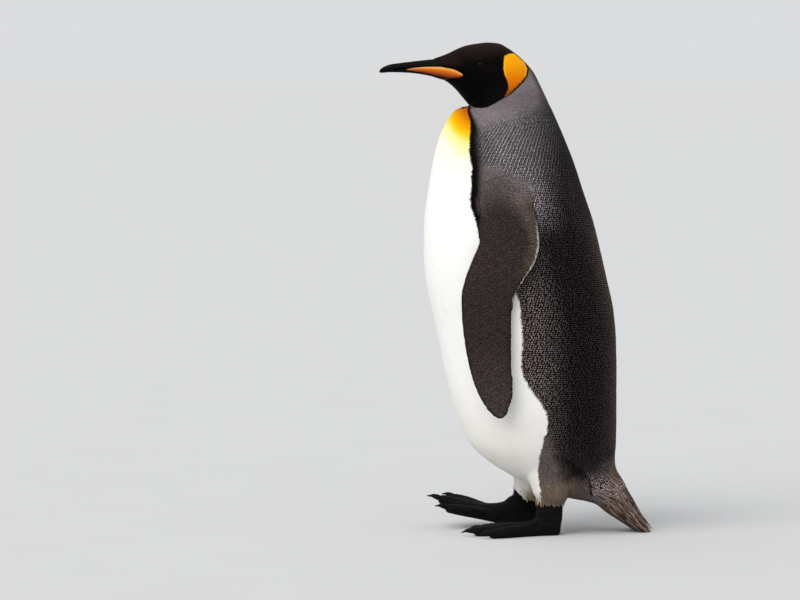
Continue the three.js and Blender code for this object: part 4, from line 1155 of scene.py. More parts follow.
faces = [list(p.vertices) for p in skin_mesh.polygons]
skin_tree = BVHTree.FromPolygons([tuple(c) for c in v.tolist()], faces)
totals = np.empty(len(skin_mesh.polygons), np.int64)
skin_mesh.polygons.foreach_get("loop_total", totals)
face_normal = unit(np.add.reduceat(skin_normals[loops], starts) / totals[:, None])


def snap(points):
    """Nearest skin point and smooth normal for points in metres."""
    find = skin_tree.find_nearest
    out = np.empty((len(points), 3))
    idx = np.empty(len(points), int)
    for i, p in enumerate(points.tolist()):
        hit = find(p)
        out[i] = hit[0]
        idx[i] = hit[2]
    return out, face_normal[idx]


# --------------------------------------------------------------------- coat
# A vane is a thin closed leaf: root point, a few four-sided stations, tip point.
STATIONS = {2: np.array([0.0, 0.42, 0.84, 1.0]), 3: np.array([0.0, 0.30, 0.62, 0.88, 1.0]),
            5: np.array([0.0, 0.16, 0.36, 0.58, 0.80, 0.94, 1.0])}
WIDTHS = {("scale", 2): (0.90, 0.86), ("scale", 3): (0.66, 1.0, 0.82), ("hair", 2): (0.80, 0.55),
          ("hair", 3): (0.80, 0.85, 0.50), ("quill", 5): (0.90, 1.0, 1.0, 0.90, 0.56)}


def leaf(line, nor, width, shape, thick, camber):
    """Closed vanes round given centre lines (n, stations, 3), in metres."""
    n, k = line.shape[:2]
    mids = k - 2
    cross = unit(np.cross(unit(np.gradient(line, axis=1)), nor))
    verts = np.empty((n, 2 + 4 * mids, 3))
    verts[:, 0] = line[:, 0]
    verts[:, -1] = line[:, -1]
    w = WIDTHS[(shape, mids)]
    for i in range(mids):
        c, u = line[:, i + 1], nor[:, i + 1]
        s = cross[:, i + 1] * (width * w[i] * 0.5 * MM)[:, None]
        drop = (width * camber * w[i] * MM)[:, None]
        verts[:, 1 + 4 * i] = c - s - u * drop
        verts[:, 2 + 4 * i] = c + u * (thick * 0.5 * MM)
        verts[:, 3 + 4 * i] = c + s - u * drop
        verts[:, 4 + 4 * i] = c - u * (thick * 0.5 * MM + drop * 0.6)
    return verts


# how a vane rises from the skin to the top of the coat: scaly and sleek plumage
RISE_AT = [0, 0.16, 0.30, 0.42, 0.62, 0.88, 1.0]
RISE = [0, 0.34, 0.58, 0.70, 0.87, 0.97, 1.0]
SLEEK = [0, 0.40, 0.80, 0.94, 0.985, 0.995, 1.0]


def lay(root, heading, length, h0, h1, mids, sleek=0.0):
    """Centre lines marched over the skin; roots in metres, lengths in mm."""
    st = STATIONS[mids]
    n, k = len(root), len(st)
    pts, nor = np.empty((n, k, 3)), np.empty((n, k, 3))
    p, nn = snap(root)
    d = unit(heading - nn * (heading * nn).sum(-1, keepdims=True))
    pts[:, 0], nor[:, 0] = p, nn
    run = p
    for i in range(1, k):
        step = (st[i] - st[i - 1]) * length * MM
        q, nk = snap(run + d * step[:, None])
        pts[:, i], nor[:, i] = q, nk
        move = unit(q - run)
        d = unit(move - nk * (move * nk).sum(-1, keepdims=True))
        run = q
    nor[:, 1:] = unit(nor[:, 1:] * 0.6 + nor[:, :-1] * 0.4)
    sleek = np.broadcast_to(sleek, n)[:, None]
    rise = np.interp(st, RISE_AT, RISE)[None] * (1 - sleek) + np.interp(st, RISE_AT, SLEEK)[None] * sleek
    h = (h0[:, None] + (h1 - h0)[:, None] * rise) * MM
    return pts + nor * h[..., None], nor


def block_faces(mids):
    f = [[0, 2, 1], [0, 3, 2], [0, 4, 3], [0, 1, 4]]
    for k in range(1, 4 * mids - 3, 4):
        for i in range(4):
            j = (i + 1) % 4
            f.append([k + i, k + j, k + 4 + j, k + 4 + i])
    a, b = 4 * mids - 3, 4 * mids + 1
    return f + [[a, a + 1, b], [a + 1, a + 2, b], [a + 2, a + 3, b], [a + 3, a, b]]


coats = {}


def add_feathers(piece, verts, base, tip, rnd, streak, uv, cover):
    """Tones are one per vane or one per vertex; cover is length over the part that shows."""
    if len(verts):
        full = lambda q: np.repeat(q[:, None], verts.shape[1], 1) if q.ndim == 2 else q
        coats.setdefault(piece, []).append((verts, full(base), full(tip), rnd, streak, uv, cover))


def tones_along(verts, mark, rnd, fn):
    """Tones at every vertex of the vanes, drawn in towards the vane's mark, in mm."""
    n, m = verts.shape[:2]
    at = mark[:, None] + (verts / MM - mark[:, None]) * 0.6
    out = in_parts(fn, at.reshape(-1, 3), np.repeat(rnd, m))
    return [q.reshape(n, m, *q.shape[1:]) for q in out]


def build_coat(name):
    co, loops_, sizes_, uvs_ = [], [], [], []
    at = {k: [] for k in ("base_tone", "tip_tone", "rnd", "streak", "along", "across")}
    total = 0
    for verts, base, tip, rnd, streak, uv, cover in coats[name]:
        n, m = verts.shape[:2]
        mids = (m - 2) // 4
        st = STATIONS[mids]
        s = np.concatenate([[0.0], np.repeat(st[1:-1], 4), [1.0]])
        x = np.concatenate([[0.0], np.tile([-1.0, 0.0, 1.0, 0.0], mids), [0.0]])
        faces_ = block_faces(mids)
        flat_ = np.array([i for f in faces_ for i in f])
        loop_v = (flat_[None] + (np.arange(n) * m)[:, None]).ravel()
        sizes = np.tile([len(f) for f in faces_], n)
        local = np.stack([x * 0.0011, (s - 0.5) * 0.0026], -1)
        local[4:-1:4, 0] += 0.0003
        uvp = (np.clip(uv, 0.004, 0.996)[:, None, :] + local[None]).reshape(-1, 2)
        uvs_.append(uvp[loop_v])
        co.append(verts.reshape(-1, 3))
        loops_.append(loop_v + total)
        sizes_.append(sizes)
        rep = lambda q: np.repeat(q, m, axis=0)
        at["base_tone"].append(base.reshape(-1, 3))
        at["tip_tone"].append(tip.reshape(-1, 3))
        at["rnd"].append(rep(rnd))
        at["streak"].append(rep(streak))
        at["along"].append(np.clip(1 - (1 - s)[None] * cover[:, None], -3, 1).ravel())
        at["across"].append((x[None] * np.where(verts[:, 0, :1] < 0, -1.0, 1.0)).ravel())
        total += n * m
    v = np.concatenate(co)
    v[:, 2] = np.maximum(v[:, 2], 0.0003)
    loop_v, sizes = np.concatenate(loops_), np.concatenate(sizes_)
    start = np.concatenate([[0], np.cumsum(sizes)[:-1]])
    me = bpy.data.meshes.new(name)
    me.vertices.add(len(v))
    me.vertices.foreach_set("co", v.astype(np.float32).ravel())
    me.loops.add(len(loop_v))
    me.loops.foreach_set("vertex_index", loop_v.astype(np.int32))
    me.polygons.add(len(sizes))
    me.polygons.foreach_set("loop_start", start.astype(np.int32))
    me.polygons.foreach_set("loop_total", sizes.astype(np.int32))
    me.update(calc_edges=True)
    me.polygons.foreach_set("use_smooth", np.ones(len(sizes), bool))
    me.set_sharp_from_angle(angle=math.radians(55))
    for k, q in at.items():
        set_attribute(me, k, "FLOAT_COLOR" if "tone" in k else "FLOAT", np.concatenate(q))
    layer = me.uv_layers.new(name="OFBake")
    layer.uv.foreach_set("vector", np.concatenate(uvs_).astype(np.float32).ravel())
    me.materials.append(MAT_COAT)
    ob = bpy.data.objects.new(name, me)
    scene.collection.objects.link(ob)
    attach(ob, "root")
    return int((sizes - 2).sum())


PER = 14.0                                       # rings of the body surface per station


def lattice(surf, row_gap, col_gap, first=0, last=None, jitter=0.10, columns=None, lean=0.5, shoulder=0.25):
    """Rows of places on a loft; each row is shifted by 'lean' of a column, to the front on both sides.
    The last result numbers the slanting lines that the columns make.
    Gaps are functions of the ring number, in mm; rows are paced at 'shoulder' of the way round."""
    last = surf.nt - 1 if last is None else last
    ring = np.arange(surf.nt)
    pace = (surf.st.max(axis=1) if columns is None else surf.st[:, int(surf.na * shoulder)]) / row_gap(ring)
    run = np.concatenate([[0], np.cumsum((pace[1:] + pace[:-1]) / 2)])
    rows = np.interp(np.arange(math.ceil(run[first]), math.floor(run[last]) + 1), run, ring)
    T, A, R, Q = [], [], [], []
    for i, t in enumerate(rows):
        k = int(t)
        arc = np.concatenate([[0], np.cumsum(surf.ring[k])])
        if columns is None:
            n = max(6, int(round(arc[-1] / col_gap(np.array([t]))[0])))
            s = (np.arange(n) + lean * i + rng.uniform(-jitter, jitter, n)) / n * arc[-1]
            line = np.zeros(n)
        else:
            n = columns
            part_way = (lean * i) % 1.0
            half = (np.arange(n // 2) + part_way) / n
            line = np.tile(np.arange(n // 2) - math.floor(lean * i), 2)
            # one more on the middle line where the two halves stand apart
            extra = [0.5] if part_way < 0.45 else [0.0] if part_way > 0.55 else []
            line = np.concatenate([line, np.zeros(len(extra))])
            loose = np.interp(t / PER, [12, 17, 21], [1.0, 1.0, 1.7]) * jitter
            s = np.concatenate([half, 1 - half, extra])
            s = (s + rng.uniform(-loose, loose, len(s)) / n) * arc[-1]
            n = len(s)
        a = np.interp(np.mod(s, arc[-1]), arc, np.arange(surf.na + 1))
        T.append(t + rng.uniform(-jitter, jitter, n) * row_gap(np.array([t]))[0] / max(surf.st.max(axis=1)[k], 1e-6))
        A.append(a)
        R.append(np.full(n, i / max(1, len(rows) - 1)))
        Q.append(line)
    return np.concatenate(T), np.concatenate(A), np.concatenate(R), np.concatenate(Q)


CAPE = int(12 * PER)                             # ring below which the scaly plumage runs in columns
COLUMNS = 204
HEAD_KNOTS = [0, 3, 7, 9.5, 12]
knot = lambda values: (lambda ring: np.interp(ring / PER, HEAD_KNOTS, values))
HEAD_ROW, HEAD_COL = knot([1.9, 2.1, 2.5, 2.6, 2.6]), knot([1.7, 1.8, 2.1, 2.2, 2.3])
HEAD_LONG, HEAD_WIDE = knot([2.6, 3.8, 5.2, 6.2, 7.6]), knot([1.6, 2.2, 2.8, 3.1, 3.5])
around_at = lambda ring: np.interp(ring, np.arange(body.nt), body.around)
COL = lambda ring: np.where(ring < CAPE, HEAD_COL(ring), np.clip(around_at(ring) / COLUMNS, 2.0, 9.0))
ROW = lambda ring: np.where(ring < CAPE, HEAD_ROW(ring), np.clip(0.80 * around_at(ring) / COLUMNS, 2.0, 4.3))
LONG = lambda ring: np.where(ring < CAPE, HEAD_LONG(ring), np.clip(3.0 * ROW(ring), 7.0, 14.0))
WIDE = lambda ring: np.where(ring < CAPE, HEAD_WIDE(ring), 1.45 * COL(ring))
STRIPS = ("left_back", "left_side", "left_front", "right_front", "right_side", "right_back")


def to_strips(verts, a, row, base, tip, rnd, streak, cover):
    """Share feathers among six strips of the body that run from the head to the tail."""
    u = np.mod(a / body.na, 1.0) * 6
    for i, strip in enumerate(STRIPS):
        s = (u >= i) & (u < i + 1)
        uv = np.stack([(u[s] - i) * 0.98 + 0.01, row[s] * 0.96 + 0.02], -1)
        add_feathers("coat_" + strip, verts[s], base[s], tip[s], rnd[s], streak[s], uv, cover[s])


head = lattice(body, ROW, COL, first=4, last=CAPE + 3)
cape = lattice(body, ROW, COL, first=CAPE - 1, last=int(33.4 * PER), jitter=0.08, columns=COLUMNS, lean=0.40)
T, A = np.concatenate([head[0], cape[0]]), np.concatenate([head[1], cape[1]])
Q = np.concatenate([head[3], cape[3]])
R = T / (33.6 * PER)
P0 = body.at(T, A, body.P)
covert = sstep(29.3, 30.6, T / PER)                 # larger on the root of the tail
row_at, col_at = ROW(T) * (1 - covert) + 4.2 * covert, COL(T) * (1 - covert) + 3.6 * covert
keep = thin(P0, np.minimum(ROW(T), COL(T)) * np.where(T < CAPE, 0.66, 0.55) * (1 - covert) + 2.6 * covert)
row_at, col_at = row_at[keep], col_at[keep]
T, A, R, Q, P0 = T[keep], A[keep], R[keep], Q[keep], P0[keep]
H = body.at(T, A, body.T)
N0 = body.at(T, A, body.N)
depth = monotone(DEPTH)(T / PER)[:, 0]
root = (P0 - N0 * depth[:, None]) * MM
near, nn = snap(root)
gap = np.linalg.norm(near - root, axis=1) / MM
keep = gap < np.maximum(1.6, depth * 0.75)
# thighs and legs have their own plumage
thigh_top = lambda y: np.interp(y, [-10, 8, 24, 46, 70, 100, 112], [84, 96, 116, 138, 140, 112, 96])
keep &= ~((P0[:, 2] < thigh_top(P0[:, 1])) & (P0[:, 1] < 112))
keep &= np.hypot(P0[:, 1] - 218, P0[:, 2] + 2) > 92 + 5 * wobble(P0, 9, 31)


def on_shoulder(p, grow=0.0):
    """Side-view patch where body and flipper run into each other."""
    return ((p[:, 1] + 19) / (46 + grow)) ** 2 + ((p[:, 2] - 541) / (36 + grow)) ** 2 < 1


keep &= ~(on_shoulder(P0, -3) & (np.abs(P0[:, 0]) > 60))
n = len(T)
length = np.where(T < CAPE, LONG(T), np.clip(3.0 * row_at, 7.0, 14.0)) * rng.uniform(0.94, 1.06, n)
# none under the lids or on the coloured plate of the bill
for side in (1, -1):
    en, fwd, up = eye_frame(side)
    for reach in (0.0, 0.6, 1.0):
        rel = P0 + H * (length * reach)[:, None] - EYE * np.array([side, 1, 1])
        r = np.sqrt((rel @ fwd / LID[0]) ** 2 + (rel @ up / LID[1]) ** 2)
        keep &= ~((r < (1.40 if reach == 0 else 1.12)) & (np.linalg.norm(rel, axis=1) < 14))
front_zone = P0[:, 1] < -70
for reach in (0.0, 0.5, 1.0):
    q = P0 + H * (length * reach)[:, None]
    d = np.full(n, -99.0)
    d[front_zone] = polygon_distance(q[front_zone][:, [1, 2]], plate_side)
    keep &= ~(d > -0.3)
T, A, R, Q, P0, H, N0, depth, root, length, row_at, col_at = (
    q[keep] for q in (T, A, R, Q, P0, H, N0, depth, root, length, row_at, col_at))
n = len(T)
rnd = rng.uniform(0, 1, n)
mark = P0 + unit(H) * (length - 0.5 * row_at)[:, None]
base, tip, flat = in_parts(body_colours, mark, rnd)
turn = rng.normal(0, 0.055, n) * (1 - 0.6 * flat) * np.interp(T / PER, [12, 17, 21], [1, 1, 1.3])
H = unit(H * np.cos(turn)[:, None] + np.cross(N0, H) * np.sin(turn)[:, None])
wide = np.where(T < CAPE, WIDE(T), 1.45 * col_at) * rng.uniform(0.95, 1.05, n) * (1 + 0.34 * flat)
pale = sstep(0.30, 0.60, base[:, 0])
even = lambda lo, hi: 1 + (rng.uniform(lo, hi, n) - 1) * (1 - 0.93 * pale)
dim, lit = even(0.86, 1.14), even(0.62, 1.38)
# on the neck every second slanting line is duller
slant = sstep(520, 600, P0[:, 2]) * sstep(676, 650, P0[:, 2]) * (1 - flat)
lit *= 1 + np.where(Q % 2 < 1, 0.42, -0.42) * slant
cover = length / row_at
h1 = depth * (1 + rng.uniform(-0.08, 0.03, n) * (1 - 0.92 * flat))
for mids, s in ((2, (T < CAPE) | (flat < 0.5)), (3, (T >= CAPE) & (flat >= 0.5))):
    line, nor = lay(root[s], H[s], length[s], np.minimum(0.12, depth[s] * 0.15), h1[s], mids, flat[s])
    verts = leaf(line, nor, wide[s], "scale", 0.13, 0.045 - 0.035 * flat[s])
    vb, vt, _ = tones_along(verts, mark[s], rnd[s], body_colours)
    to_strips(verts, A[s], R[s], vb * dim[s, None, None], vt * lit[s, None, None], rnd[s], np.zeros(s.sum()), cover[s])

# tail: short stiff coverts over long narrow quills, set out by their distance from the tip of the tail
st = STATIONS[5]
run_t = np.linspace(26.5 * PER, body.nt - 1.01, 90)
ENDS = [94, 86, 78, 70, 61, 50, 38, 26, 14, 1]
for i, end in enumerate(ENDS):
    w0 = np.interp(end, [0, 60, 136], [4.4, 4.0, 3.4])
    reach = np.interp(end, [0, 30, 70, 136], [66, 54, 38, 25])
    k = int(np.interp(end, [0, 30, 60, 90, 136], [37, 35.4, 33.6, 31.6, 28.6]) * PER) - 1
    cnt = int(body.around[min(k, body.nt - 1)] / (w0 * 0.86))
    a = (np.arange(cnt) + 0.5 * i + rng.uniform(-0.14, 0.14, cnt)) / cnt * body.na
    reach = reach * rng.uniform(0.92, 1.08, cnt)
    stop = np.maximum(end + rng.normal(0, 2.0, cnt) + (np.abs(rng.normal(0, 5.0, cnt)) if end < 5 else 0), 0.3)
    grid = body.at(np.tile(run_t, cnt), np.repeat(a, len(run_t)), body.P).reshape(cnt, len(run_t), 3)
    seg = np.linalg.norm(np.diff(grid, axis=1), axis=-1)
    left = np.concatenate([np.cumsum(seg[:, ::-1], axis=1)[:, ::-1], np.zeros((cnt, 1))], 1)
    want = stop[:, None] + reach[:, None] * (1 - st)[None]
    tt = np.stack([np.interp(want[j], left[j, ::-1], run_t[::-1]) for j in range(cnt)])
    aa = np.repeat(a[:, None], len(st), 1) + rng.normal(0, 0.45, cnt)[:, None] * st[None]
    P = body.at(tt.ravel(), aa.ravel(), body.P).reshape(cnt, len(st), 3)
    nor = body.at(tt.ravel(), aa.ravel(), body.N).reshape(cnt, len(st), 3)
    # quills spring only from the rump, not from the belly or thighs
    own = (P[:, 0, 1] > 92) & (P[:, -1, 1] > 108)
    d = monotone(DEPTH)(tt.ravel() / PER)[:, 0].reshape(cnt, len(st))
    rise = np.interp(st, RISE_AT, RISE)[None]
    h = -d + 0.15 + (d * 0.98) * rise + rng.uniform(-0.45, 0.30, cnt)[:, None] * rise
    line = P + nor * h[..., None]
    if end < 20:
        # the longest quills run on past the tip, splayed over the floor
        way = unit(P[:, -1] - P[:, -4])
        way[:, 2] *= 0.3
        way[:, 0] += 0.012 * P[:, -1, 0] + rng.normal(0, 0.10, cnt)
        past = np.clip(np.abs(rng.normal(0, 5.0, cnt)), 0.5, 9.5) * (1 - end / 24)
        line = line + way[:, None] * (past[:, None] * st[None] ** 4)[..., None]
        line[..., 2] = np.maximum(line[..., 2], 0.5)
    line = line * MM
    rnd = rng.uniform(0, 1, cnt)
    base, tip, _ = body_colours(P[:, 4], rnd)
    tip *= (rng.uniform(0.60, 1.40, cnt) * np.where(rnd < 0.25, 0.40, 1.12))[:, None]
    base *= rng.uniform(0.7, 1.3, cnt)[:, None]
    verts = leaf(line, nor, w0 * rng.uniform(0.85, 1.12, cnt), "quill", 0.35, np.full(cnt, 0.10))
    s = own
    to_strips(verts[s], a[s], np.full(s.sum(), 0.985), base[s], tip[s], rnd[s], np.ones(s.sum()), (reach / 9.0)[s])

# flippers: tiny stiff scales
for side in ("left", "right"):
    surf = wings[side]
    row = lambda ring: np.interp(ring / 10.0, [0, 2, 5, 12, 15], [3.4, 3.2, 3.0, 2.8, 2.2])
    col = lambda ring: np.interp(ring / 10.0, [0, 2, 5, 12, 15], [3.0, 2.8, 2.6, 2.4, 2.0])
    T, A, R, _ = lattice(surf, row, col, first=6, last=surf.nt - 2, lean=0.38, jitter=0.16)
    T = np.clip(T + 2.4 * np.cos(2 * math.pi * A / surf.na), 5, surf.nt - 2)
    P0 = surf.at(T, A, surf.P)
    keep = thin(P0, np.minimum(row(T), col(T)) * 0.66)
    T, A, R, P0 = T[keep], A[keep], R[keep], P0[keep]
    N0 = surf.at(T, A, surf.N)
    H = unit(surf.at(T, A, surf.T) + np.array([0, 0.10, 0]))
    root = (P0 - N0 * 0.6) * MM
    near, nn = snap(root)
    gap = np.linalg.norm(near - root, axis=1) / MM
    keep = (gap < 1.5) & ~(on_shoulder(P0, -3) & (N0[:, 0] * np.sign(P0[:, 0]) > 0) & (P0[:, 2] > 512))
    T, A, R, P0, N0, H, root = (q[keep] for q in (T, A, R, P0, N0, H, root))
    n = len(T)
    rnd = rng.uniform(0, 1, n)
    length = row(T) * 2.4 * rng.uniform(0.92, 1.08, n)
    wide = col(T) * 1.55 * rng.uniform(0.94, 1.06, n)
    inner = (N0[:, 0] * np.sign(P0[:, 0]) < -0.15).astype(float)
    base, tip = wing_colours(P0 + H * (row(T) * 1.9)[:, None], rnd, inner)
    even = 1 - 0.8 * sstep(0.3, 0.6, tip[:, 1])
    base *= (1 + rng.uniform(-0.22, 0.22, n) * even)[:, None]
    tip *= (1 + rng.uniform(-0.38, 0.38, n) * even)[:, None]
    h1 = np.full(n, 0.62) + np.interp(T, [0, 30, 55], [2.2, 1.2, 0.0])
    line, nor = lay(root, H, length, np.full(n, 0.05), h1, 2, 0.35)
    verts = leaf(line, nor, wide, "scale", 0.10, np.full(n, 0.03))
    uv = np.stack([A / surf.na * 0.98 + 0.01, R * 0.96 + 0.02], -1)
    add_feathers("coat_wing_" + side, verts, base, tip, rnd, np.zeros(n), uv, length / row(T))

# shoulders: small feathers straight on the skin, running over from the body onto the flipper
sv = vertex_array(skin_mesh) / MM
own = on_shoulder(sv, 3) & (sv[:, 2] > 507) & (np.abs(sv[:, 0]) > 62) & (skin_normals[:, 0] * np.sign(sv[:, 0]) > 0.15)
spot = np.where(own)[0]
spot = spot[np.random.default_rng(78).permutation(len(spot))]
spot = spot[thin(sv[spot], np.full(len(spot), 2.3))]
P0, N0 = sv[spot], skin_normals[spot]
n = len(P0)
rnd = rng.uniform(0, 1, n)
down = np.stack([np.zeros(n), np.full(n, 0.08), np.full(n, -1.0)], -1) + rng.normal(0, 0.05, (n, 3))
H = unit(down - N0 * (down * N0).sum(-1, keepdims=True))
length = np.interp(P0[:, 2], [510, 545, 575], [7.6, 9.0, 12.0]) * rng.uniform(0.92, 1.08, n)
top = np.interp(P0[:, 2], [506, 512, 530, 552, 572], [1.8, 2.0, 2.4, 3.1, 3.9]) * rng.uniform(0.96, 1.03, n)
wide = np.interp(P0[:, 2], [510, 575], [4.0, 5.4]) * rng.uniform(0.92, 1.08, n)
mark = P0 + H * (length * 0.8)[:, None]
line, nor = lay(P0 * MM, H, length, np.full(n, 0.08), top, 3, 0.7)
verts = leaf(line, nor, wide, "scale", 0.11, np.full(n, 0.015))
vb, vt, *_ = tones_along(verts, mark, rnd, lambda p, r: wing_colours(p, r, np.zeros(len(p))))
mid = vb * 0.78 + vt * 0.22
lit = rng.uniform(0.62, 1.38, n)[:, None, None]
mid = mid * np.interp(P0[:, 2], [506, 530], [1.10, 1.0])[:, None, None]
vb, vt = mid * 0.66, mid * 1.75
uv = np.stack([(P0[:, 1] + 70) / 104 * 0.96 + 0.02, (P0[:, 2] - 500) / 84 * 0.96 + 0.02], -1)
for wing, s in (("left", P0[:, 0] > 0), ("right", P0[:, 0] <= 0)):
    add_feathers("coat_shoulder_" + wing, verts[s], vb[s], (vt * lit)[s], rnd[s], np.zeros(s.sum()), uv[s], (length / 2.8)[s])

# thighs and legs: soft plumage straight on the skin, ending in a hairy hem over the ankles
sv = vertex_array(skin_mesh) / MM
own = (sv[:, 2] > 42) & (sv[:, 2] < thigh_top(sv[:, 1]) + 14) & (sv[:, 1] < 116) & (sv[:, 1] > -70) & (part != 3) & (part != 1)
spot = np.where(own)[0]
spot = spot[np.random.default_rng(77).permutation(len(spot))]
spot = spot[thin(sv[spot], 2.7 - 0.45 * body_colours(sv[spot], np.full(len(spot), 0.5))[2])]
P0, N0 = sv[spot], skin_normals[spot]
n = len(P0)
rnd = rng.uniform(0, 1, n)
hem = np.where(P0[:, 0] > 0, 47.0, 45.0) + rng.normal(0, 2.2, n)
down = np.stack([0.10 * np.sign(P0[:, 0]) * 0, np.interp(P0[:, 1], [-60, 40, 100], [0.15, 0.28, 0.42]), np.full(n, -1.0)], -1)
down = down + rng.normal(0, 0.09, (n, 3))
H = down - N0 * (down * N0).sum(-1, keepdims=True)
steep = np.linalg.norm(H, axis=1)
H = unit(H)
length = np.minimum(13.0 * rng.uniform(0.85, 1.15, n), (P0[:, 2] - hem) * 1.1)
keep = (length > 4.5) & (steep > 0.18)
P0, N0, H, rnd, length = (q[keep] for q in (P0, N0, H, rnd, length))
n = len(P0)
low = sstep(84, 58, P0[:, 2])
wide = rng.uniform(3.4, 4.4, n) * (1 - 0.35 * low)
soft_white = body_colours(P0, rnd)[2] * (1 - low)
wide *= 1 + 0.60 * soft_white
mark = P0 + H * (length * 0.75)[:, None]
flat = body_colours(mark, rnd)[2]
line, nor = lay(P0 * MM, H, length, np.full(n, 0.12), (2.6 + 1.4 * sstep(88, 122, P0[:, 2])) * (1 + rng.uniform(-0.12, 0.04, n) * (1 - 0.85 * soft_white)), 3, 0.9 * flat)
verts = leaf(line, nor, wide, "hair", 0.16, np.full(n, 0.03))
vb, vt, _ = tones_along(verts, mark, rnd, body_colours)
pale = sstep(0.30, 0.60, vt[:, -1, 1])
lit = (1 + rng.uniform(-0.40, 0.40, n) * (1 - 0.92 * pale))[:, None, None]
# bare tan tips where the hem hangs over the foot
tan = (sstep(74, 54, mark[:, 2]) * (0.35 + 0.65 * rnd) * (1 - 0.75 * pale))[:, None]
vt = mix(vt, (0.19, 0.135, 0.085), np.broadcast_to(tan, vt.shape[:2]))
uv = np.stack([np.mod(np.arctan2(N0[:, 1], np.abs(N0[:, 0])) / 3.3 + 0.5, 1) * 0.46 + np.where(P0[:, 0] > 0, 0.01, 0.52),
               (P0[:, 2] - 40) / 115 * 0.94 + 0.03], -1)
for leg, s in (("left", P0[:, 0] > 0), ("right", P0[:, 0] <= 0)):
    add_feathers("coat_leg_" + leg, verts[s], vb[s], (vt * lit)[s], rnd[s], (0.7 * (1 - pale))[s], uv[s], (length / 3.6)[s])

for name in list(coats):
    build_coat(name)

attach(skin, "root")
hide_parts("head", "neck", "trunk", "tail", "wing_left", "wing_right", "leg_left", "leg_right", "foot_left", "foot_right")


# --------------------------------------------------------------------- bill
def piece(name, P, material, replaces, slot, caps=True):
    verts, faces_ = P.mesh()
    ob = new_object(name, verts * MM, faces_)
    bm = bmesh.new()
    bm.from_mesh(ob.data)
    bmesh.ops.recalc_face_normals(bm, faces=bm.faces)
    bm.to_mesh(ob.data)
    bm.free()
    ob.data.materials.append(material)
    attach(ob, "root")
    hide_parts(replaces)
    return ob


upper = section_loft(UPPER_BILL, 10, 56)
P = upper.P
y, z = P[..., 1] - CY, P[..., 2]
# long groove of the upper bill, and the slit of the nostril in it
mid_z = np.interp(y, UPPER_BILL[:, 0], UPPER_BILL[:, 1] * 0.42 + UPPER_BILL[:, 3] * 0.58)
groove = np.exp(-((z - mid_z) / 1.1) ** 2) * sstep(-205, -190, y) * sstep(-116, -128, y)
slit = np.exp(-((z - mid_z - 0.3) / 0.55) ** 2) * sstep(-158, -154, y) * sstep(-140, -144, y)
P[..., 0] *= 1 - (0.05 * groove + 0.10 * slit)
upper = Surface(P)
# the bill is shut: the lower edge tucks just inside the upper one
shut = LOWER_BILL.copy()
shut[:8, 1] += 0.45
shut[0] = [-216.6, 736.0, -216.2, 733.7, 1.0, 0.5, 2.0]
shut[1, 1] += 0.6
lower = section_loft(shut, 10, 56)
piece("bill_upper_horn", upper, MAT_BILL, "bill_upper", "bill_horn")
piece("bill_lower_horn", lower, MAT_BILL, "bill_lower", "bill_horn")

half_rows = monotone(np.column_stack([LOWER_BILL[:, 0], LOWER_BILL[:, 1], LOWER_BILL[:, 3], LOWER_BILL[:, 4], LOWER_BILL[:, 6], LOWER_BILL[:, 5]]))
tt = np.linspace(0, len(LOWER_BILL) - 1, 400)
rows_y = half_rows(tt)


def mandible_x(y, z):
    """Half width of the lower bill at a place in side view."""
    top, low, half_w, sq, pl = (np.interp(y, rows_y[:, 0], rows_y[:, k]) for k in (1, 2, 3, 4, 5))
    mid = low + (top - low) * pl
    rel = np.where(z > mid, (z - mid) / np.maximum(top - mid, 0.05), (mid - z) / np.maximum(mid - low, 0.05))
    return half_w * (1 - np.clip(rel, 0, 0.995) ** sq) ** (1 / sq)


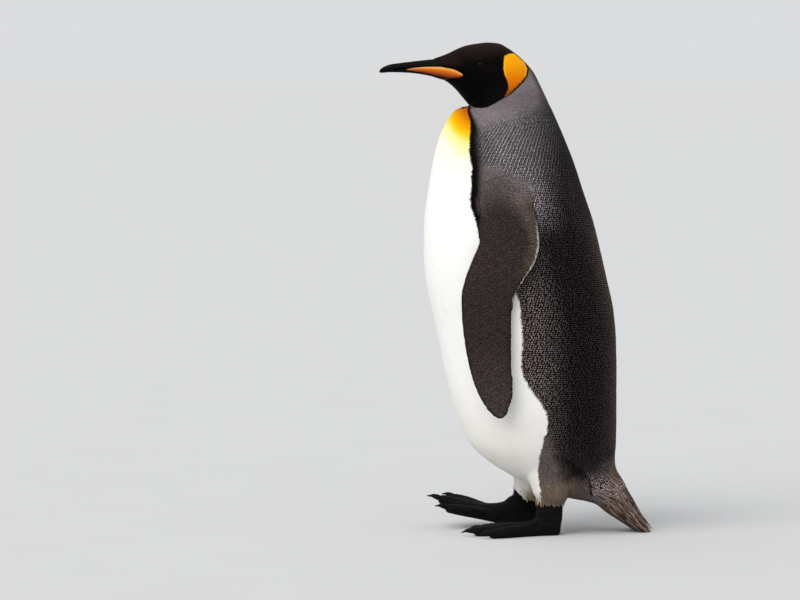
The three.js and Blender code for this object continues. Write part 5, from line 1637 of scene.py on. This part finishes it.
pu = np.linspace(0, len(PLATE) - 1, 70)
prow = monotone(PLATE)(pu)
nv = 15
for side in ("left", "right"):
    sg = 1 if side == "left" else -1
    vv = np.linspace(0, 1, nv)
    Y = np.repeat(prow[:, 0][:, None], nv, 1)
    Z = prow[:, 1][:, None] + (prow[:, 2] - prow[:, 1])[:, None] * vv
    X = mandible_x(Y, Z)
    # its upper edge stands out to the cutting edge of the upper bill
    wide_y, top_y, low_y, at_y = (np.interp(Y, rows_y[:, 0], rows_y[:, k]) for k in (3, 1, 2, 5))
    mid_y = low_y + (top_y - low_y) * at_y
    over = np.clip((Z - mid_y) / (top_y + 1.8 - mid_y), 0, 0.995)
    X = np.where(Z > mid_y, wide_y * (1 - over ** 4.5) ** (1 / 4.5), X)
    swell = (np.sin(np.pi * vv) ** 0.6)[None, :] * (np.sin(np.pi * np.linspace(0, 1, len(pu))) ** 0.5)[:, None]
    crease = 0.18 * np.exp(-((vv - 0.80) / 0.05) ** 2)[None]
    outer = np.stack([sg * (X + 0.25 + 0.55 * swell - crease), Y + CY, Z], -1)
    inn = np.stack([sg * (X - 0.9), Y + CY, Z], -1)
    n_u = len(pu)
    verts = np.concatenate([outer.reshape(-1, 3), inn.reshape(-1, 3)])
    o = lambda i, j: i * nv + j
    q = n_u * nv
    fs = []
    for i in range(n_u - 1):
        for j in range(nv - 1):
            fs.append([o(i, j), o(i + 1, j), o(i + 1, j + 1), o(i, j + 1)])
            fs.append([q + o(i, j), q + o(i, j + 1), q + o(i + 1, j + 1), q + o(i + 1, j)])
        for j in (0, nv - 1):
            fs.append([o(i, j), q + o(i, j), q + o(i + 1, j), o(i + 1, j)])
    for i in (0, n_u - 1):
        for j in range(nv - 1):
            fs.append([o(i, j), o(i, j + 1), q + o(i, j + 1), q + o(i, j)])
    ob = new_object("plate_" + side, verts * MM, fs)
    bm = bmesh.new()
    bm.from_mesh(ob.data)
    bmesh.ops.recalc_face_normals(bm, faces=bm.faces)
    bm.to_mesh(ob.data)
    bm.free()
    up_v = np.tile(np.repeat(vv[None], n_u, 0).ravel(), 2)
    long_v = np.tile(np.repeat(np.linspace(0, 1, n_u)[:, None], nv, 1).ravel(), 2)
    set_attribute(ob.data, "up", "FLOAT", up_v)
    set_attribute(ob.data, "long", "FLOAT", long_v)
    ob.data.materials.append(MAT_PLATE)
    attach(ob, "root")
    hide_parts("bill_plate_" + side)

# --------------------------------------------------------------------- eyes
for side, sg in (("left", 1), ("right", -1)):
    n, fwd, up = eye_frame(sg)
    lat = np.linspace(0, np.pi, 33)
    lon = np.linspace(0, 2 * np.pi, 48, endpoint=False)
    verts = [n * EYE_R]
    ring = [0.0]
    for th in lat[1:-1]:
        bulge = 0.35 * math.exp(-(th / 0.42) ** 2)
        for ph in lon:
            verts.append(n * math.cos(th) * (EYE_R + bulge) + (fwd * math.cos(ph) + up * math.sin(ph)) * math.sin(th) * EYE_R)
            ring.append(math.sin(th) if th < np.pi / 2 else 1.0)
    verts[0] = n * (EYE_R + 0.35)
    verts.append(-n * EYE_R)
    ring.append(1.0)
    m = len(lon)
    fs = [[0, 1 + i, 1 + (i + 1) % m] for i in range(m)]
    for r in range(len(lat) - 3):
        for i in range(m):
            j = (i + 1) % m
            fs.append([1 + r * m + i, 1 + (r + 1) * m + i, 1 + (r + 1) * m + j, 1 + r * m + j])
    last = len(verts) - 1
    s0 = 1 + (len(lat) - 3) * m
    fs += [[last, s0 + (i + 1) % m, s0 + i] for i in range(m)]
    ob = new_object("eyeball_" + side, (np.array(verts) + EYE * np.array([sg, 1, 1])) * MM, fs)
    bm = bmesh.new()
    bm.from_mesh(ob.data)
    bmesh.ops.recalc_face_normals(bm, faces=bm.faces)
    bm.to_mesh(ob.data)
    bm.free()
    set_attribute(ob.data, "ring", "FLOAT", ring)
    ob.data.materials.append(MAT_EYE)
    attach(ob, "root")
    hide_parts("eye_" + side)

# -------------------------------------------------------------------- claws
for side, sg in (("left", 1), ("right", -1)):
    m = feet[side][2]
    for name, (x, y, z, yaw) in CLAW_ROOT.items():
        k = 0.5 if name == "hind" else 1.0
        a = math.radians(yaw)
        path = [(-5, 0, 4.2), (3, 1.4, 4.3), (10, 1.6, 3.3), (CLAW_LENGTH - 3, 0.4, 1.7), (CLAW_LENGTH + 2, -1.4, 0.7)]
        rows = [[sg * (x + math.sin(a) * f * k), -(y + math.cos(a) * f * k), z + u * k, r * k * 0.92, r * k * 1.05] for f, u, r in path]
        P = moved(limb_loft(rows, 20, 8), m)
        P[..., 2] = np.maximum(P[..., 2], 0.1)
        ob = piece(f"claw_{side}_{name}_horn", Surface(P), MAT_CLAW, f"claw_{side}_{name}", "claw_horn")

# ----------------------------------------------------------- floor and light
rings = np.concatenate([np.linspace(0, 3, 13)[1:], np.geomspace(3.4, 60, 18)])
seg = 96
w = np.linspace(0, 2 * np.pi, seg, endpoint=False)
fv = [(0.0, 0.0, 0.0)] + [(r * math.cos(a), r * math.sin(a), 0.0) for r in rings for a in w]
ff = [[0, 1 + i, 1 + (i + 1) % seg] for i in range(seg)]
for k in range(len(rings) - 1):
    for i in range(seg):
        j = (i + 1) % seg
        ff.append([1 + k * seg + i, 1 + (k + 1) * seg + i, 1 + (k + 1) * seg + j, 1 + k * seg + j])
floor = new_object("floor", fv, ff, smooth=False)
m, nt, bsdf = nodes_of("floor_pale")
nv_ = noise_node(nt, object_vector(nt), 5.0, 3.0)
nt.links.new(mix_colour(nt, nv_, (0.590, 0.594, 0.600), (0.612, 0.617, 0.623)), bsdf.inputs["Base Color"])
nt.links.new(math_node(nt, "ADD", math_node(nt, "MULTIPLY", nv_, 0.1), 0.8), bsdf.inputs["Roughness"])
bsdf.inputs["Specular IOR Level"].default_value = 0.1
floor.data.materials.append(m)
floor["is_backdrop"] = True

world = bpy.data.worlds.new("studio")
scene.world = world
world.use_nodes = True
bg = world.node_tree.nodes["Background"]
bg.inputs["Color"].default_value = (0.712, 0.720, 0.732, 1.0)
bg.inputs["Strength"].default_value = 1.0


def sun(name, toward, angle, strength, colour=(1, 1, 1)):
    """A broad soft light that shines from the direction 'toward'."""
    data = bpy.data.lights.new(name, "SUN")
    data.angle = math.radians(angle)
    data.energy = strength
    data.color = colour
    ob = bpy.data.objects.new(name, data)
    ob.rotation_euler = Vector(toward).to_track_quat("Z", "Y").to_euler()
    ob.location = Vector(toward) * 4
    scene.collection.objects.link(ob)


sun("key", (0.70, -0.55, 0.93), 50, 2.0, (1.0, 0.985, 0.955))
scene.view_settings.view_transform = "Standard"
scene.view_settings.look = "None"
scene.view_settings.exposure = 0.0

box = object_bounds()
flat = lambda b: [[float(c) for c in row] for row in b]
{"cad": flat(CAD_BOX), "visual": flat(box)}
